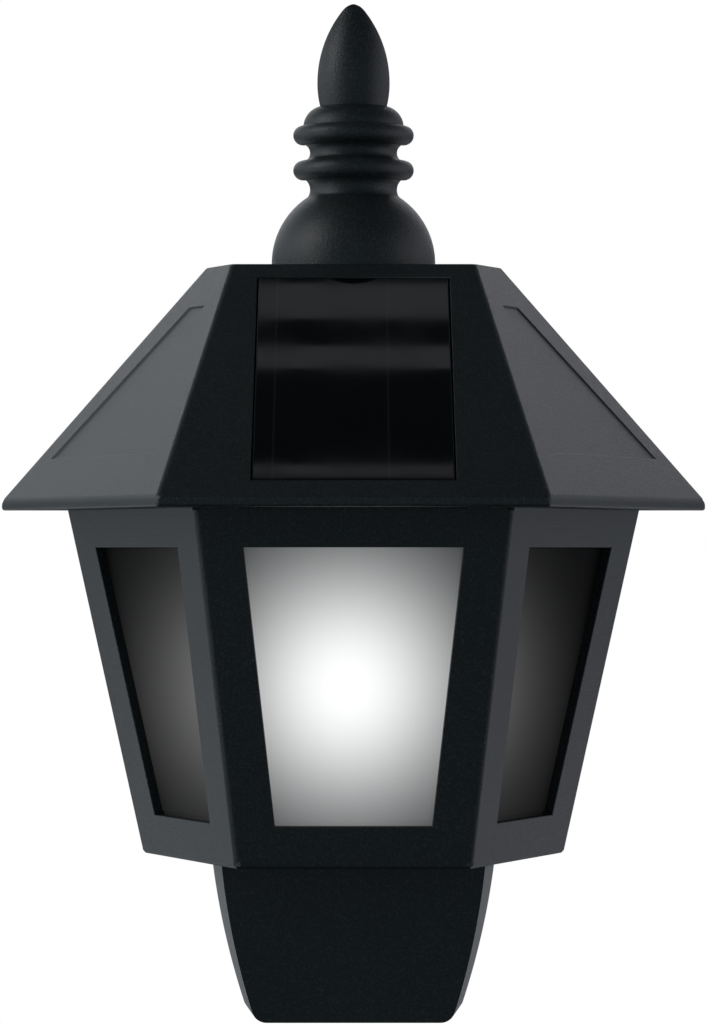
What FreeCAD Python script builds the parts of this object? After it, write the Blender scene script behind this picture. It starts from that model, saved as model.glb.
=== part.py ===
import FreeCAD, Part
import math
import os

from FreeCAD import Rotation, Vector

# Solar fence light: a half-hexagon lantern that hangs flat on a fence or wall.
# Millimetres. +Z is up, the front faces -Y, the wall is the plane y = 0, and z = 0 is the
# underside of the eave. Depths are measured forwards from the back edge of the shells.

os.makedirs("parts", exist_ok=True)

# ---- Driving dimensions ---------------------------------------------------------------

# Shells
cover_thick = 3.0          # back cover, rear face on the wall
wall = 2.4                 # roof and lantern body walls
side_splay = 0.495         # sideways run of a side facet for each mm of depth
fit_gap = 0.3              # clearance between shells and the pieces set into them

# Roof
eave_front_half = 39.5
eave_depth = 76.8
rim_height = 2.0
rim_round = 1.2
plateau_front_half = 26.5
plateau_depth = 11.9
roof_height = 53.5
ridge_round = 0.7
recess_deep = 0.8          # sunk panels in the side facets
recess_low = 11.2
recess_high = 44.2
recess_back_low = 7.2
recess_back_high = 10.6
recess_ridge_low = 9.7
recess_ridge_high = 7.8

# Solar panel in the front facet
panel_width = 41.0
panel_length = 71.6
panel_from_eave = 5.8
glass_thick = 1.4
cell_thick = 0.3
cell_pitch = 11.8
cell_gap = 0.3
first_cell_gap = -16.4     # x of the leftmost gap between two cell strips
plate_thick = 1.0
tape_thick = 0.5
tape_width = 3.0
busbar_width = 2.5
busbar_thick = 0.2
pocket_wall = 2.0
pocket_floor = 1.6
pocket_inset = 0.4         # its rim stays this far inside the roof's faces
panel_hole_radius = 4.0
panel_hole_up = 24.0       # distance of the lead hole from the eave edge, along the slope

# Lantern body
body_height = 75.1
body_front_top_half = 32.6
body_front_low_half = 24.6
body_top_depth = 61.35
body_low_depth = 43.9
body_edge_round = 1.0
body_low_round = 1.7
flange_thick = 1.6
flange_pad_rise = 1.4
flange_pad_radius = 4.0

# Windows and panes
window_top = 8.2           # below the eave
window_low_margin = 8.7    # above the underside of the body
front_window_margin = 9.1
side_window_margin = 11.0
window_corner = 0.6
pane_thick = 1.6
pane_lap = 3.0
rail_width = 1.2
rail_gap = 0.2
rail_root = 0.5            # a rail starts this deep in the wall

# Tail
tail_wall = 2.0
tail_height = 35.2
tail_top_half = 31.3
tail_middle_half = 28.1
tail_middle_drop = 18.5
tail_low_half = 24.9
tail_corner = 4.4
tail_top_depth = 28.6
tail_low_depth = 22.0
tail_draft = 0.11          # narrowing of each side for each mm of depth
tail_edge_round = 1.2
wire_hole_radius = 6.0
wire_hole_depth = 14.0

# Finial, a half turning: heights are above the roof plateau
finial_axis_back = 3.6     # the axis it is turned about lies this far behind the wall
finial_height = 58.6
bud_radius = 7.85
bud_widest = 41.5
bud_foot_radius = 7.3
bud_foot = 36.0
tip_radius = 2.3
tip_drop = 1.3
collar_radius = 11.5
collar_bulge = 9.6
ring_radius = 13.15
ring_round = 2.2
upper_ring = 29.3
lower_ring = 21.6
neck_radius = 9.8
dome_top = 15.9
dome_shoulder_radius = 15.7
dome_shoulder = 9.5
dome_radius = 18.1
dome_foot = 1.5
finial_wall = 2.4
finial_boss_radius = 4.2
finial_boss_depth = 8.2    # distance of the screw from the wall

# Back cover
cover_step = 0.2           # the cover stands in from the shells' edge
seal_margin = 0.9
seal_width = 1.0
seal_deep = 0.8
keyhole_spacing = 60.0
keyhole_height = 16.0
keyhole_entry_radius = 4.2
keyhole_slot_half = 2.2
keyhole_slot_rise = 8.0

# Fasteners
screw_radius = 1.45
screw_head_radius = 2.8
screw_head_height = 1.4
screw_gap = 0.1
head_sunk = 0.2            # screw heads stay this far below the wall face
head_crown = 0.45          # rounding of a screw head, as a share of its height
cross_arm = 0.55           # cross recess: arm and half-slot as shares of the head's radius
cross_slot = 0.13
cross_deep = 0.6           # and its depth as a share of the head's height
cover_screw_length = 6.0
boss_radius = 3.6
boss_web = 2.0
boss_web_deep = 4.5
roof_boss_inset = 8.5      # from the shell's outside to the screw
body_boss_inset = 12.5
boss_spare = 0.6
flange_screw_length = 6.0
flange_screw_head_height = 1.25
flange_screw_spare = 1.5
flange_screw_depth = 17.0
front_flange_screw_half = 31.0
front_flange_screw_inset = 0.6
flange_boss_radius = 3.2
tail_screw_half = 22.0
tail_screw_depth = 17.0
tail_boss_length = 7.0
tail_boss_sunk = 0.4       # the boss runs this far into the wall
finial_screw_length = 10.0
board_screw_length = 4.6
board_screw_radius = 1.0
board_screw_head_radius = 1.95
board_screw_head_height = 1.1
board_screw_spare = 0.4
roof_boss_low = 12.0
roof_boss_high = 42.0
body_boss_up = 9.1         # above the underside of the body
tail_boss_up = 6.0         # above the underside of the tail

# Light board and reflector
board_width = 28.0
board_low_margin = 11.1    # from the board to the underside of the body
board_thick = 1.6
board_top = 14.0           # below the eave
standoff_length = 4.0
standoff_radius = 2.6
board_hole_inset = 3.0
led_across = -3.8          # the lamps sit a little left of the middle
led_drop = 0.4             # below the middle of the window
led_pitch = 7.0
led_width = 3.5
led_height = 2.8
led_thick = 0.8
reflector_wall = 1.2
reflector_back_half = 10.0
reflector_under_top = 10.7 # its rear opening, from the board's upper edge
reflector_over_low = 13.3  # and from its lower edge, clear of the pads there
reflector_lap = 0.8
chip_length = 5.0
chip_width = 4.0
chip_thick = 1.6
chip_up = 14.0             # above the foot of the board
inductor_radius = 2.5
inductor_thick = 3.0
inductor_in = 13.0         # below the top of the board
part_across = 6.0

# Switch
switch_across = 27.0
switch_up = 25.1           # above the underside of the body
switch_length = 10.0
switch_width = 4.8
switch_deep = 4.4
switch_wall = 0.5
slider_length = 2.6
slider_width = 2.2
slider_gap = 0.15
slider_travel = 2.8
slider_shoe_extra = 0.7
slider_shoe_thick = 1.0
slider_recess = 0.5        # how far the knob stays below the wall face
slider_groove_half = 0.2
slider_groove_deep = 0.3
switch_well_length = 15.0
switch_well_width = 8.0
switch_well_deep = 1.6
rib_thick = 1.2
rib_height = 2.5
switch_pin_length = 1.6
switch_pin_radius = 0.4
switch_pin_spacing = 5.0

# Battery and its box
battery_radius = 5.25
battery_length = 44.5
battery_nub_radius = 1.9
battery_nub = 0.9
battery_edge_round = 0.4
battery_under_body = 10.9  # from the underside of the body to the cell's axis
battery_side_gap = 0.5
battery_end_gap = 1.15
box_wall = 1.1
contact_thick = 0.4
contact_half = 3.6
contact_touch = 0.05
tab_half = 1.2
tab_length = 1.9
tab_gap = 0.15

# Battery door
door_gap = 0.25
door_thick = 1.5
door_ledge = 2.0
door_well_deep = 2.0
door_sunk = 0.1
trunnion_radius = 0.6
trunnion_length = 1.0
trunnion_gap = 0.06
door_seal_width = 0.8
door_seal_margin = 0.05
door_seal_thick = 0.35
latch_half = 4.0
latch_thick = 0.8
latch_reach = 2.2
latch_gap = 0.65
nail_notch_radius = 5.0
nail_notch_deep = 0.7
nail_notch_rise = 1.2

# Wires
lead_radius = 0.6
solar_lead_out = 11.0      # straight run from the panel, then back and down to its next bend
solar_lead_back = 16.4
solar_lead_fall = 7.0
solar_lead_apart = 1.5     # the black lead hangs this much lower than the red one
solar_pad_half = 4.0       # solder pads on the board: from the middle, and in from an edge
solar_pad_in = 2.5
solar_pad_out = 6.5        # straight run into the pad, and the bend before it
solar_pad_bend_out = 15.4
solar_pad_bend_up = 5.5
battery_lead_out = 5.0     # straight run from the contact's tab, then inwards and up
battery_lead_bend_half = 11.0
battery_lead_bend_out = 5.5
battery_lead_bend_up = 2.5
hole_lead_half = 3.0       # where the battery leads pass the wire hole
hole_lead_below = 3.5
hole_lead_above = 7.0
battery_pad_half = 2.6
battery_pad_across = -3.0
battery_pad_in = 3.0
battery_pad_out = 4.5
switch_lead_out = 5.5
switch_lead_back = 8.0
switch_lead_bend_out = 9.0
switch_lead_bend_up = 4.0
switch_pad_across = 4.0
switch_pad_in = 4.0
switch_pad_pitch = 3.5
switch_pad_out = 6.0

# ---- Places worked out from the driving dimensions --------------------------------------

back = -cover_thick                    # y of the shells' back edge
splay_length = math.hypot(1, side_splay)
body_low = -body_height
body_floor = body_low + wall
tail_low = body_low - tail_height
board_back = back - standoff_length
board_face = board_back - board_thick
board_height = body_height - board_top - board_low_margin
led_down = (window_top + body_height - window_low_margin) / 2 + led_drop
switch_down = body_height - switch_up
battery_drop = body_height + battery_under_body
flange_top = flange_thick
pad_top = flange_thick + flange_pad_rise
pocket_depth = tape_thick + plate_thick + cell_thick + glass_thick
box_half = battery_length / 2 + battery_end_gap
box_rise = battery_radius + battery_side_gap
battery_y = back - battery_radius + battery_side_gap / 2
box_front = battery_y - battery_radius - battery_side_gap / 2
RIGHT = Vector(1, 0, 0)
REAR = Vector(0, 1, 0)
UP = Vector(0, 0, 1)
ORIGIN = Vector(0, 0, 0)
NEAR = 0.01                            # two places closer than this are the same place


# ---- Building blocks --------------------------------------------------------------------

def polygon_face(points):
    return Part.Face(Part.makePolygon(points + [points[0]]))


def prismatoid(low, high):
    """Solid between two flat outlines with the same number of corners."""
    faces = [polygon_face(low), polygon_face(high)]
    for index in range(len(low)):
        after = (index + 1) % len(low)
        faces.append(polygon_face([low[index], low[after], high[after], high[index]]))
    return Part.Solid(Part.Shell(faces))


def slab(points, inward, near, far):
    """Plate whose outline lies on a facet, from one depth below that facet to another."""
    start = [point + inward * near for point in points]
    return polygon_face(start).extrude(inward * (far - near))


def block(x_low, x_high, y_low, y_high, z_low, z_high):
    size = (x_high - x_low, y_high - y_low, z_high - z_low)
    return Part.makeBox(*size, Vector(x_low, y_low, z_low))


def mirrored(shape):
    return shape.mirror(ORIGIN, RIGHT)


def both_sides(shape):
    return [shape, mirrored(shape)]


def join(shapes):
    whole = shapes[0].multiFuse(shapes[1:]) if len(shapes) > 1 else shapes[0]
    whole = whole.removeSplitter()
    return whole.Solids[0] if len(whole.Solids) == 1 else whole


def round_edges(shape, radius, chosen):
    return shape.makeFillet(radius, [edge for edge in shape.Edges if chosen(edge)])


def in_front(edge):
    return edge.CenterOfMass.y < back - NEAR


def level_at(edge, height):
    return all(abs(vertex.Z - height) < NEAR for vertex in edge.Vertexes)


class SplayedForm:
    """Half hexagon on the back plane: a front facet and two side facets, all leaning alike."""

    def __init__(self, low, front_low, depth_low, high, front_high, depth_high):
        rise = high - low
        self.low = low
        self.high = high
        self.depth_low = depth_low
        self.depth_run = (depth_high - depth_low) / rise
        self.half_low = front_low + side_splay * depth_low
        half_high = front_high + side_splay * depth_high
        self.half_run = (half_high - self.half_low) / rise

    def depth(self, z, inset=0.0):
        return self.depth_low + self.depth_run * (z - self.low) - inset * math.hypot(1, self.depth_run)

    def back_half(self, z, inset=0.0):
        straight = self.half_low + self.half_run * (z - self.low)
        return straight - inset * math.hypot(splay_length, self.half_run)

    def front_half(self, z, inset=0.0):
        return self.back_half(z, inset) - side_splay * self.depth(z, inset)

    def plan(self, z, inset=0.0):
        rear, front, depth = self.back_half(z, inset), self.front_half(z, inset), self.depth(z, inset)
        corners = [(-rear, 0), (rear, 0), (front, depth), (-front, depth)]
        return [Vector(x, back - forward, z) for x, forward in corners]

    def solid(self, z_low, z_high, inset=0.0):
        return prismatoid(self.plan(z_low, inset), self.plan(z_high, inset))

    def front_point(self, x, z):
        return Vector(x, back - self.depth(z), z)

    def side_point(self, z, from_back):
        forward = from_back / splay_length
        return Vector(self.back_half(z) - side_splay * forward, back - forward, z)

    def side_length(self, z):
        return self.depth(z) * splay_length

    def front_inward(self):
        return Vector(0, 1, self.depth_run).normalize()

    def side_inward(self):
        return Vector(-1, side_splay, self.half_run).normalize()


roof_form = SplayedForm(
    rim_height, eave_front_half, eave_depth, roof_height, plateau_front_half, plateau_depth)
rim_form = SplayedForm(0, eave_front_half, eave_depth, roof_height, eave_front_half, eave_depth)
body_form = SplayedForm(
    body_low, body_front_low_half, body_low_depth, 0, body_front_top_half, body_top_depth)


def screw(seat, into, radius, length, head_radius, head_height):
    """Pan-head screw with a cross recess; seat is the point under its head."""
    shank = Part.makeCylinder(radius, length, ORIGIN, -UP)
    head = Part.makeCylinder(head_radius, head_height, ORIGIN, UP)
    head = round_edges(head, head_height * head_crown, lambda edge: len(edge.Vertexes) == 1
                       and abs(edge.CenterOfMass.z - head_height) < NEAR)
    arm, slot = head_radius * cross_arm, head_radius * cross_slot
    floor = head_height * (1 - cross_deep)
    cross = [block(-arm, arm, -slot, slot, floor, head_height + 1),
             block(-slot, slot, -arm, arm, floor, head_height + 1)]
    whole = join([shank, head]).cut(join(cross))
    whole.Placement = FreeCAD.Placement(seat, Rotation(-UP, into))
    return whole


def clearance_hole(seat, into, radius, length):
    return Part.makeCylinder(radius + screw_gap, length, seat, into)


def lead(name, points):
    """Insulated wire of straight runs and tangent arcs, each arc as large as its runs allow."""
    edges, start, radii = [], points[0], []
    for before, corner, after in zip(points, points[1:], points[2:]):
        to_before, to_after = before - corner, after - corner
        setback = 0.45 * min(to_before.Length, to_after.Length)
        half_turn = (math.pi - to_before.getAngle(to_after)) / 2
        bend = setback / math.tan(half_turn)
        radii.append(bend)
        to_before.normalize()
        to_after.normalize()
        first, last = corner + to_before * setback, corner + to_after * setback
        middle = corner + (to_before + to_after).normalize() * (math.hypot(setback, bend) - bend)
        edges += [Part.makeLine(start, first), Part.Arc(first, middle, last).toShape()]
        start = last
    edges.append(Part.makeLine(start, points[-1]))
    path = Part.Wire(edges)
    section = Part.Wire(Part.makeCircle(lead_radius, points[0], points[1] - points[0]))
    tube = path.makePipeShell([section], True, False)
    expected = math.pi * lead_radius ** 2 * path.Length
    print(f"{name}: length {path.Length:.1f}, bends {[round(r, 1) for r in radii]}, "
          f"volume ratio {tube.Volume / expected:.4f}")
    return tube


def save(name, shapes):
    shape = shapes[0] if len(shapes) == 1 else Part.makeCompound(shapes)
    for solid in shape.Solids:
        if not solid.isValid() or solid.Volume <= 0:
            print(f"{name}: a solid is not sound")
    shape.exportStep(f"parts/{name}.step")


# ---- Bosses and screws that hold the back cover ------------------------------------------

def tail_half(z, deep=0.0):
    """Half-width of the tail's outside at a height and depth."""
    drop, middle = body_low - z, tail_middle_drop
    low = tail_height - tail_corner
    if drop < middle:
        straight = tail_top_half + (tail_middle_half - tail_top_half) * drop / middle
    else:
        straight = tail_middle_half + (tail_low_half - tail_middle_half) * (drop - middle) / (low - middle)
    return straight - tail_draft * deep


def cover_boss(x, half, z, outer):
    """Screw boss beside the shell's wall, with a web to it, kept inside the shell's outside form."""
    length = cover_screw_length + boss_spare
    pillar = Part.makeCylinder(boss_radius, length, Vector(x, back, z), -REAR)
    web = block(x, half, back - boss_web_deep, back, z - boss_web / 2, z + boss_web / 2)
    boss = join([pillar, web]).common(outer)
    hole = clearance_hole(Vector(x, back + 1, z), -REAR, screw_radius, length)
    return boss, hole


def boss_place(half, z, inset):
    return half - inset, half, z


roof_bosses = [boss_place(roof_form.back_half(z), z, roof_boss_inset)
               for z in (roof_boss_low, roof_boss_high)]
body_boss_z = body_low + body_boss_up
body_boss = boss_place(body_form.back_half(body_boss_z), body_boss_z, body_boss_inset)
tail_boss_z = tail_low + tail_boss_up
tail_boss = boss_place(tail_half(tail_boss_z), tail_boss_z, boss_radius + tail_wall - tail_boss_sunk)


# ---- Roof ---------------------------------------------------------------------------------

def roof_outside():
    band = rim_form.solid(0, rim_height)
    slopes = roof_form.solid(rim_height, roof_height)
    shape = join([band, slopes])
    shape = round_edges(shape, ridge_round, lambda edge: in_front(edge)
                        and not level_at(edge, 0) and not level_at(edge, roof_height))
    return round_edges(shape, rim_round, lambda edge: in_front(edge) and level_at(edge, 0))


def roof_inside(inset, z_low, z_high):
    """Space under the roof, a given distance inside its facets and its rim."""
    slopes = roof_form.solid(z_low, z_high, inset)
    return slopes.common(rim_form.solid(z_low, z_high, inset))


slope_length = math.hypot(eave_depth - plateau_depth, roof_height - rim_height)
roof_inward = roof_form.front_inward()


def slope_point(x, up):
    """Point on the front facet, a distance up the slope from the rim."""
    return roof_form.front_point(x, rim_height + (roof_height - rim_height) * up / slope_length)


def slope_plate(margin, near, far, low=panel_from_eave, high=panel_from_eave + panel_length):
    half = panel_width / 2 + margin
    corners = [slope_point(-half, low - margin), slope_point(half, low - margin),
               slope_point(half, high + margin), slope_point(-half, high + margin)]
    return slab(corners, roof_inward, near, far)


def side_recess():
    low = [roof_form.side_point(recess_low, recess_back_low),
           roof_form.side_point(recess_low, roof_form.side_length(recess_low) - recess_ridge_low)]
    high = [roof_form.side_point(recess_high, roof_form.side_length(recess_high) - recess_ridge_high),
            roof_form.side_point(recess_high, recess_back_high)]
    return slab(low + high, roof_form.side_inward(), -1, recess_deep)


def flange_screw_places():
    """Four screws between the body's outside and the roof's rim."""
    depth = flange_screw_depth
    side_x = (body_form.back_half(0) + rim_form.back_half(0, wall)) / 2 - side_splay * depth
    front_depth = (body_form.depth(0) + rim_form.depth(0, wall)) / 2 - front_flange_screw_inset
    spots = [(side_x, back - depth), (front_flange_screw_half, back - front_depth)]
    return [Vector(sign * x, y, flange_top) for x, y in spots for sign in (-1, 1)]


def roof_shell():
    outer = roof_outside()
    hollow = roof_inside(wall, -1, roof_height - wall)
    tray_room = roof_inside(pocket_inset, flange_top + fit_gap, roof_height - pocket_inset)
    tray = slope_plate(fit_gap + pocket_wall, 1, pocket_depth + pocket_floor).common(tray_room)
    bosses, holes = [], []
    for place in roof_bosses:
        boss, hole = cover_boss(*place, outer)
        bosses += both_sides(boss)
        holes += both_sides(hole)
    for spot in flange_screw_places():
        foot = Vector(spot.x, spot.y, pad_top)
        bosses.append(Part.makeCylinder(flange_boss_radius, roof_height, foot, UP).common(outer))
        holes.append(clearance_hole(foot - UP, UP, screw_radius, flange_screw_length - flange_thick
                                    + flange_screw_spare))
    shell = join([outer.cut(hollow), tray] + bosses)
    cuts = holes + both_sides(side_recess()) + [slope_plate(fit_gap, -1, pocket_depth)]
    hole_spot = slope_point(0, panel_hole_up) + roof_inward * (pocket_depth - 1)
    cuts.append(Part.makeCylinder(panel_hole_radius, pocket_floor + 3, hole_spot, roof_inward))
    finial_hole = Vector(0, -finial_boss_depth, roof_height - wall - 1)
    cuts.append(clearance_hole(finial_hole, UP, screw_radius, wall + 2))
    return shell.cut(join(cuts))


# ---- Solar panel ---------------------------------------------------------------------------

def solar_panel():
    glass_low = glass_thick
    cell_low = glass_low + cell_thick
    plate_low = cell_low + plate_thick
    save("solar_glass", [slope_plate(0, 0, glass_low)])
    save("solar_cells", cell_strips(glass_low, cell_low))
    save("solar_back_plate", [slope_plate(0, cell_low, plate_low)])
    outer = slope_plate(0, plate_low, pocket_depth)
    save("panel_tape", [outer.cut(slope_plate(-tape_width, plate_low - 1, pocket_depth + 1))])
    save("solar_busbars", [busbar(sign, plate_low) for sign in (-1, 1)])


def cell_strips(near, far):
    half, edges = panel_width / 2, []
    x = first_cell_gap
    while x < half:
        edges.append(x)
        x += cell_pitch
    starts = [-half] + [edge + cell_gap / 2 for edge in edges]
    ends = [edge - cell_gap / 2 for edge in edges] + [half]
    low, high = panel_from_eave, panel_from_eave + panel_length
    strips = []
    for start, end in zip(starts, ends):
        corners = [slope_point(start, low), slope_point(end, low),
                   slope_point(end, high), slope_point(start, high)]
        strips.append(slab(corners, roof_inward, near, far))
    return strips


def busbar(sign, near):
    """Tinned strip on the underside of the panel, from the lead to the far end of the cells."""
    low, high = panel_hole_up - busbar_width, panel_from_eave + panel_length - tape_width - fit_gap
    if sign < 0:
        low, high = panel_from_eave + tape_width + fit_gap, panel_hole_up + busbar_width
    inner = busbar_width * 0.4
    xs = sorted((sign * inner, sign * (inner + busbar_width)))
    corners = [slope_point(xs[0], low), slope_point(xs[1], low),
               slope_point(xs[1], high), slope_point(xs[0], high)]
    return slab(corners, roof_inward, near, near + busbar_thick)


# ---- Finial ---------------------------------------------------------------------------------

def turned_point(half, height, thin):
    """Point of the turned profile, from its half-width at the wall and its height on the roof."""
    return Vector(math.hypot(half, finial_axis_back) - thin, 0, roof_height + height)


def arc(first, middle, last, thin=0.0):
    return Part.Arc(*[turned_point(*point, thin) for point in (first, middle, last)]).toShape()


def line(first, last, thin=0.0):
    return Part.makeLine(turned_point(*first, thin), turned_point(*last, thin))


def half_turning(edges, rear):
    """Turned about an axis that lies behind the wall, and cut off at a plane."""
    ends = [edges[0].Vertexes[0].Point, edges[-1].Vertexes[-1].Point]
    axis_ends = [Vector(0, 0, end.z) for end in ends]
    loop = edges + [Part.makeLine(ends[1], axis_ends[1]), Part.makeLine(axis_ends[1], axis_ends[0]),
                    Part.makeLine(axis_ends[0], ends[0])]
    turning = Part.Face(Part.Wire(loop)).revolve(ORIGIN, UP, 360)
    turning.translate(Vector(0, finial_axis_back, 0))
    reach = dome_radius + ring_radius
    top = roof_height + finial_height + 1
    return turning.common(block(-reach, reach, -reach, rear, roof_height - 1, top))


def ring_profile(height):
    foot = height - ring_round
    return [arc((collar_radius, height + ring_round), (ring_radius, height), (collar_radius, foot)),
            line((collar_radius, foot), (neck_radius, foot))]


def finial():
    bud_tip = finial_height - tip_drop
    lower_top = lower_ring + ring_round
    profile = [
        arc((0, finial_height), (tip_radius * 0.62, finial_height - tip_drop * 0.4), (tip_radius, bud_tip)),
        arc((tip_radius, bud_tip), (bud_radius * 0.79, bud_widest + 8.8), (bud_radius, bud_widest)),
        arc((bud_radius, bud_widest), (bud_radius - 0.15, bud_widest - 3), (bud_foot_radius, bud_foot)),
        arc((bud_foot_radius, bud_foot), (collar_bulge, (bud_foot + upper_ring + ring_round) / 2 + 0.4),
            (collar_radius, upper_ring + ring_round)),
    ]
    profile += ring_profile(upper_ring)
    profile += [line((neck_radius, upper_ring - ring_round), (neck_radius, lower_top)),
                line((neck_radius, lower_top), (collar_radius, lower_top))]
    profile += ring_profile(lower_ring)
    profile += [line((neck_radius, lower_ring - ring_round), (neck_radius, dome_top)),
                arc((neck_radius, dome_top), (dome_shoulder_radius, dome_shoulder),
                    (dome_radius, dome_foot)),
                line((dome_radius, dome_foot), (dome_radius, 0))]
    outer = half_turning(profile, 0)
    hollow_top = (neck_radius, dome_top - 1)
    hollow = half_turning([
        arc(hollow_top, (dome_shoulder_radius, dome_shoulder - 0.6), (dome_radius, dome_foot), finial_wall),
        line((dome_radius, dome_foot), (dome_radius, -0.5), finial_wall)], -finial_wall)
    foot = Vector(0, -finial_boss_depth, roof_height)
    boss = Part.makeCylinder(finial_boss_radius, dome_top, foot, UP).common(outer)
    shape = join([outer.cut(hollow), boss])
    return shape.cut(clearance_hole(foot - UP, UP, screw_radius, finial_screw_length - wall + 2))


# ---- Lantern body ---------------------------------------------------------------------------

window_high = -window_top
window_low = body_low + window_low_margin


def front_outline(lap):
    high, low = window_high + lap, window_low - lap
    half_high = body_form.front_half(window_high) - front_window_margin + lap
    half_low = body_form.front_half(window_low) - front_window_margin + lap
    return [body_form.front_point(-half_low, low), body_form.front_point(half_low, low),
            body_form.front_point(half_high, high), body_form.front_point(-half_high, high)]


def side_outline(lap):
    margin = side_window_margin - lap
    high, low = window_high + lap, window_low - lap
    return [body_form.side_point(low, margin),
            body_form.side_point(low, body_form.side_length(low) - margin),
            body_form.side_point(high, body_form.side_length(high) - margin),
            body_form.side_point(high, margin)]


def window_cut(outline, inward):
    hole = slab(outline, inward, -2, wall + 2)
    return round_edges(hole, window_corner, lambda edge: abs(
        (edge.Vertexes[0].Point - edge.Vertexes[1].Point).normalize().dot(inward)) > 0.99)


def pane(outline, inward):
    return slab(outline, inward, wall, wall + pane_thick)


def pane_rail(outer, inner, inward):
    """Ribs round the sides and foot of a pane, on the inner face of the wall."""
    frame = slab(outer, inward, wall - rail_root, wall + pane_thick)
    return frame.cut(slab(inner, inward, 0, wall + pane_thick + 1))


def lantern_body():
    outer = body_form.solid(body_low, 0)
    outer = round_edges(outer, body_low_round, lambda edge: level_at(edge, body_low) and in_front(edge))
    outer = round_edges(outer, body_edge_round, lambda edge: in_front(edge)
                        and edge.BoundBox.ZLength > body_height * 0.8)
    hollow = body_form.solid(body_floor, pad_top + 1, wall)
    flange = roof_inside(wall + fit_gap, 0, flange_top)
    pads = []
    room = roof_inside(wall + fit_gap, 0, pad_top)
    for spot in flange_screw_places():
        pad = Part.makeCylinder(flange_pad_radius, pad_top, Vector(spot.x, spot.y, 0), UP)
        pads.append(pad.common(room))
    rails = []
    outside, inside = rail_gap + rail_width, rail_gap
    inward = body_form.front_inward()
    rails.append(pane_rail(front_outline(pane_lap + outside), front_outline(pane_lap + inside), inward))
    side = body_form.side_inward()
    rails += both_sides(pane_rail(
        side_outline(pane_lap + outside), side_outline(pane_lap + inside), side))
    boss, boss_hole = cover_boss(*body_boss, outer)
    shell = join([outer.cut(hollow)] + both_sides(boss) + rails)
    shell = join([shell, flange.cut(hollow)] + [pad.cut(hollow) for pad in pads])
    cuts = both_sides(boss_hole) + [window_cut(front_outline(0), inward)]
    cuts += both_sides(window_cut(side_outline(0), side))
    for spot in flange_screw_places():
        foot = Vector(spot.x, spot.y, -1)
        cuts.append(Part.makeCylinder(screw_head_radius + fit_gap, flange_pad_rise + 1, foot, UP))
        cuts.append(clearance_hole(foot, UP, screw_radius, pad_top + 2))
    for spot in tail_screw_places():
        cuts.append(clearance_hole(spot + UP, -UP, screw_radius, wall + 2))
    cuts.append(wire_hole())
    return shell.cut(join(cuts))


def wire_hole():
    foot = Vector(0, back - wire_hole_depth, body_low - tail_wall - 1)
    return Part.makeCylinder(wire_hole_radius, wall + tail_wall + 2, foot, UP)


def tail_screw_places():
    return [Vector(sign * tail_screw_half, back - tail_screw_depth, body_floor) for sign in (-1, 1)]


def panes():
    lap = pane_lap
    side = body_form.side_inward()
    save("front_pane", [pane(front_outline(lap), body_form.front_inward())])
    right = pane(side_outline(lap), side)
    save("right_pane", [right])
    save("left_pane", [mirrored(right)])


# ---- Tail -----------------------------------------------------------------------------------

def tail_outline(deep, inset):
    """Front view of the tail at a depth: slightly curved sides and two rounded corners."""
    narrow = tail_draft * deep + inset
    y, top = back - deep, body_low - inset
    low_corner, low = tail_low + tail_corner, tail_low + inset
    half_top, half_middle, half_low = [
        half - narrow for half in (tail_top_half, tail_middle_half, tail_low_half)]
    radius = tail_corner - inset
    knee = radius * 0.3

    def side(sign):
        top_point = Vector(sign * half_top, y, top)
        middle = Vector(sign * half_middle, y, body_low - tail_middle_drop)
        corner = Vector(sign * half_low, y, low_corner)
        turn = Vector(sign * (half_low - knee - 0.3), y, low + knee)
        foot = Vector(sign * (half_low - radius - 0.6), y, low)
        return top_point, middle, corner, turn, foot

    right, left = side(1), side(-1)
    edges = [Part.makeLine(left[0], right[0]), Part.Arc(right[0], right[1], right[2]).toShape(),
             Part.Arc(right[2], right[3], right[4]).toShape(), Part.makeLine(right[4], left[4]),
             Part.Arc(left[4], left[3], left[2]).toShape(), Part.Arc(left[2], left[1], left[0]).toShape()]
    return Part.Wire(edges)


def tail_form(inset, deepest):
    body = Part.makeLoft([tail_outline(0, inset), tail_outline(deepest, inset)], True, True)
    lean = (tail_top_depth - tail_low_depth) / tail_height
    short = inset * math.hypot(1, lean)
    top, low = body_low + 1, tail_low - 1
    reach = tail_top_half + 1
    front_top = back - tail_top_depth - lean + short
    front_low = back - tail_low_depth + lean + short
    far = front_top - tail_top_depth
    profile = [Vector(-reach, far, top), Vector(-reach, front_top, top),
               Vector(-reach, front_low, low), Vector(-reach, far, low)]
    return body.cut(polygon_face(profile).extrude(RIGHT * reach * 2))


def tail_outside():
    shape = tail_form(0, tail_top_depth + 2)
    lean = (tail_top_depth - tail_low_depth) / tail_height

    def on_front(edge):
        depth = tail_top_depth - lean * (body_low - edge.CenterOfMass.z)
        flush = abs(back - edge.CenterOfMass.y - depth) < 0.6
        return flush and not level_at(edge, body_low)

    return round_edges(shape, tail_edge_round, on_front)


def tail_shell():
    outer = tail_outside()
    hollow = tail_form(tail_wall, tail_top_depth + 2)
    boss, boss_hole = cover_boss(*tail_boss, outer)
    bosses, holes = both_sides(boss), both_sides(boss_hole)
    for spot in tail_screw_places():
        foot = Vector(spot.x, spot.y, body_low)
        bosses.append(Part.makeCylinder(boss_radius, tail_boss_length, foot, -UP).common(outer))
        holes.append(clearance_hole(foot + UP, -UP, screw_radius, tail_boss_length))
    shell = join([outer.cut(hollow)] + bosses)
    return shell.cut(join(holes + [wire_hole()]))


# ---- Back cover -----------------------------------------------------------------------------

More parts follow.
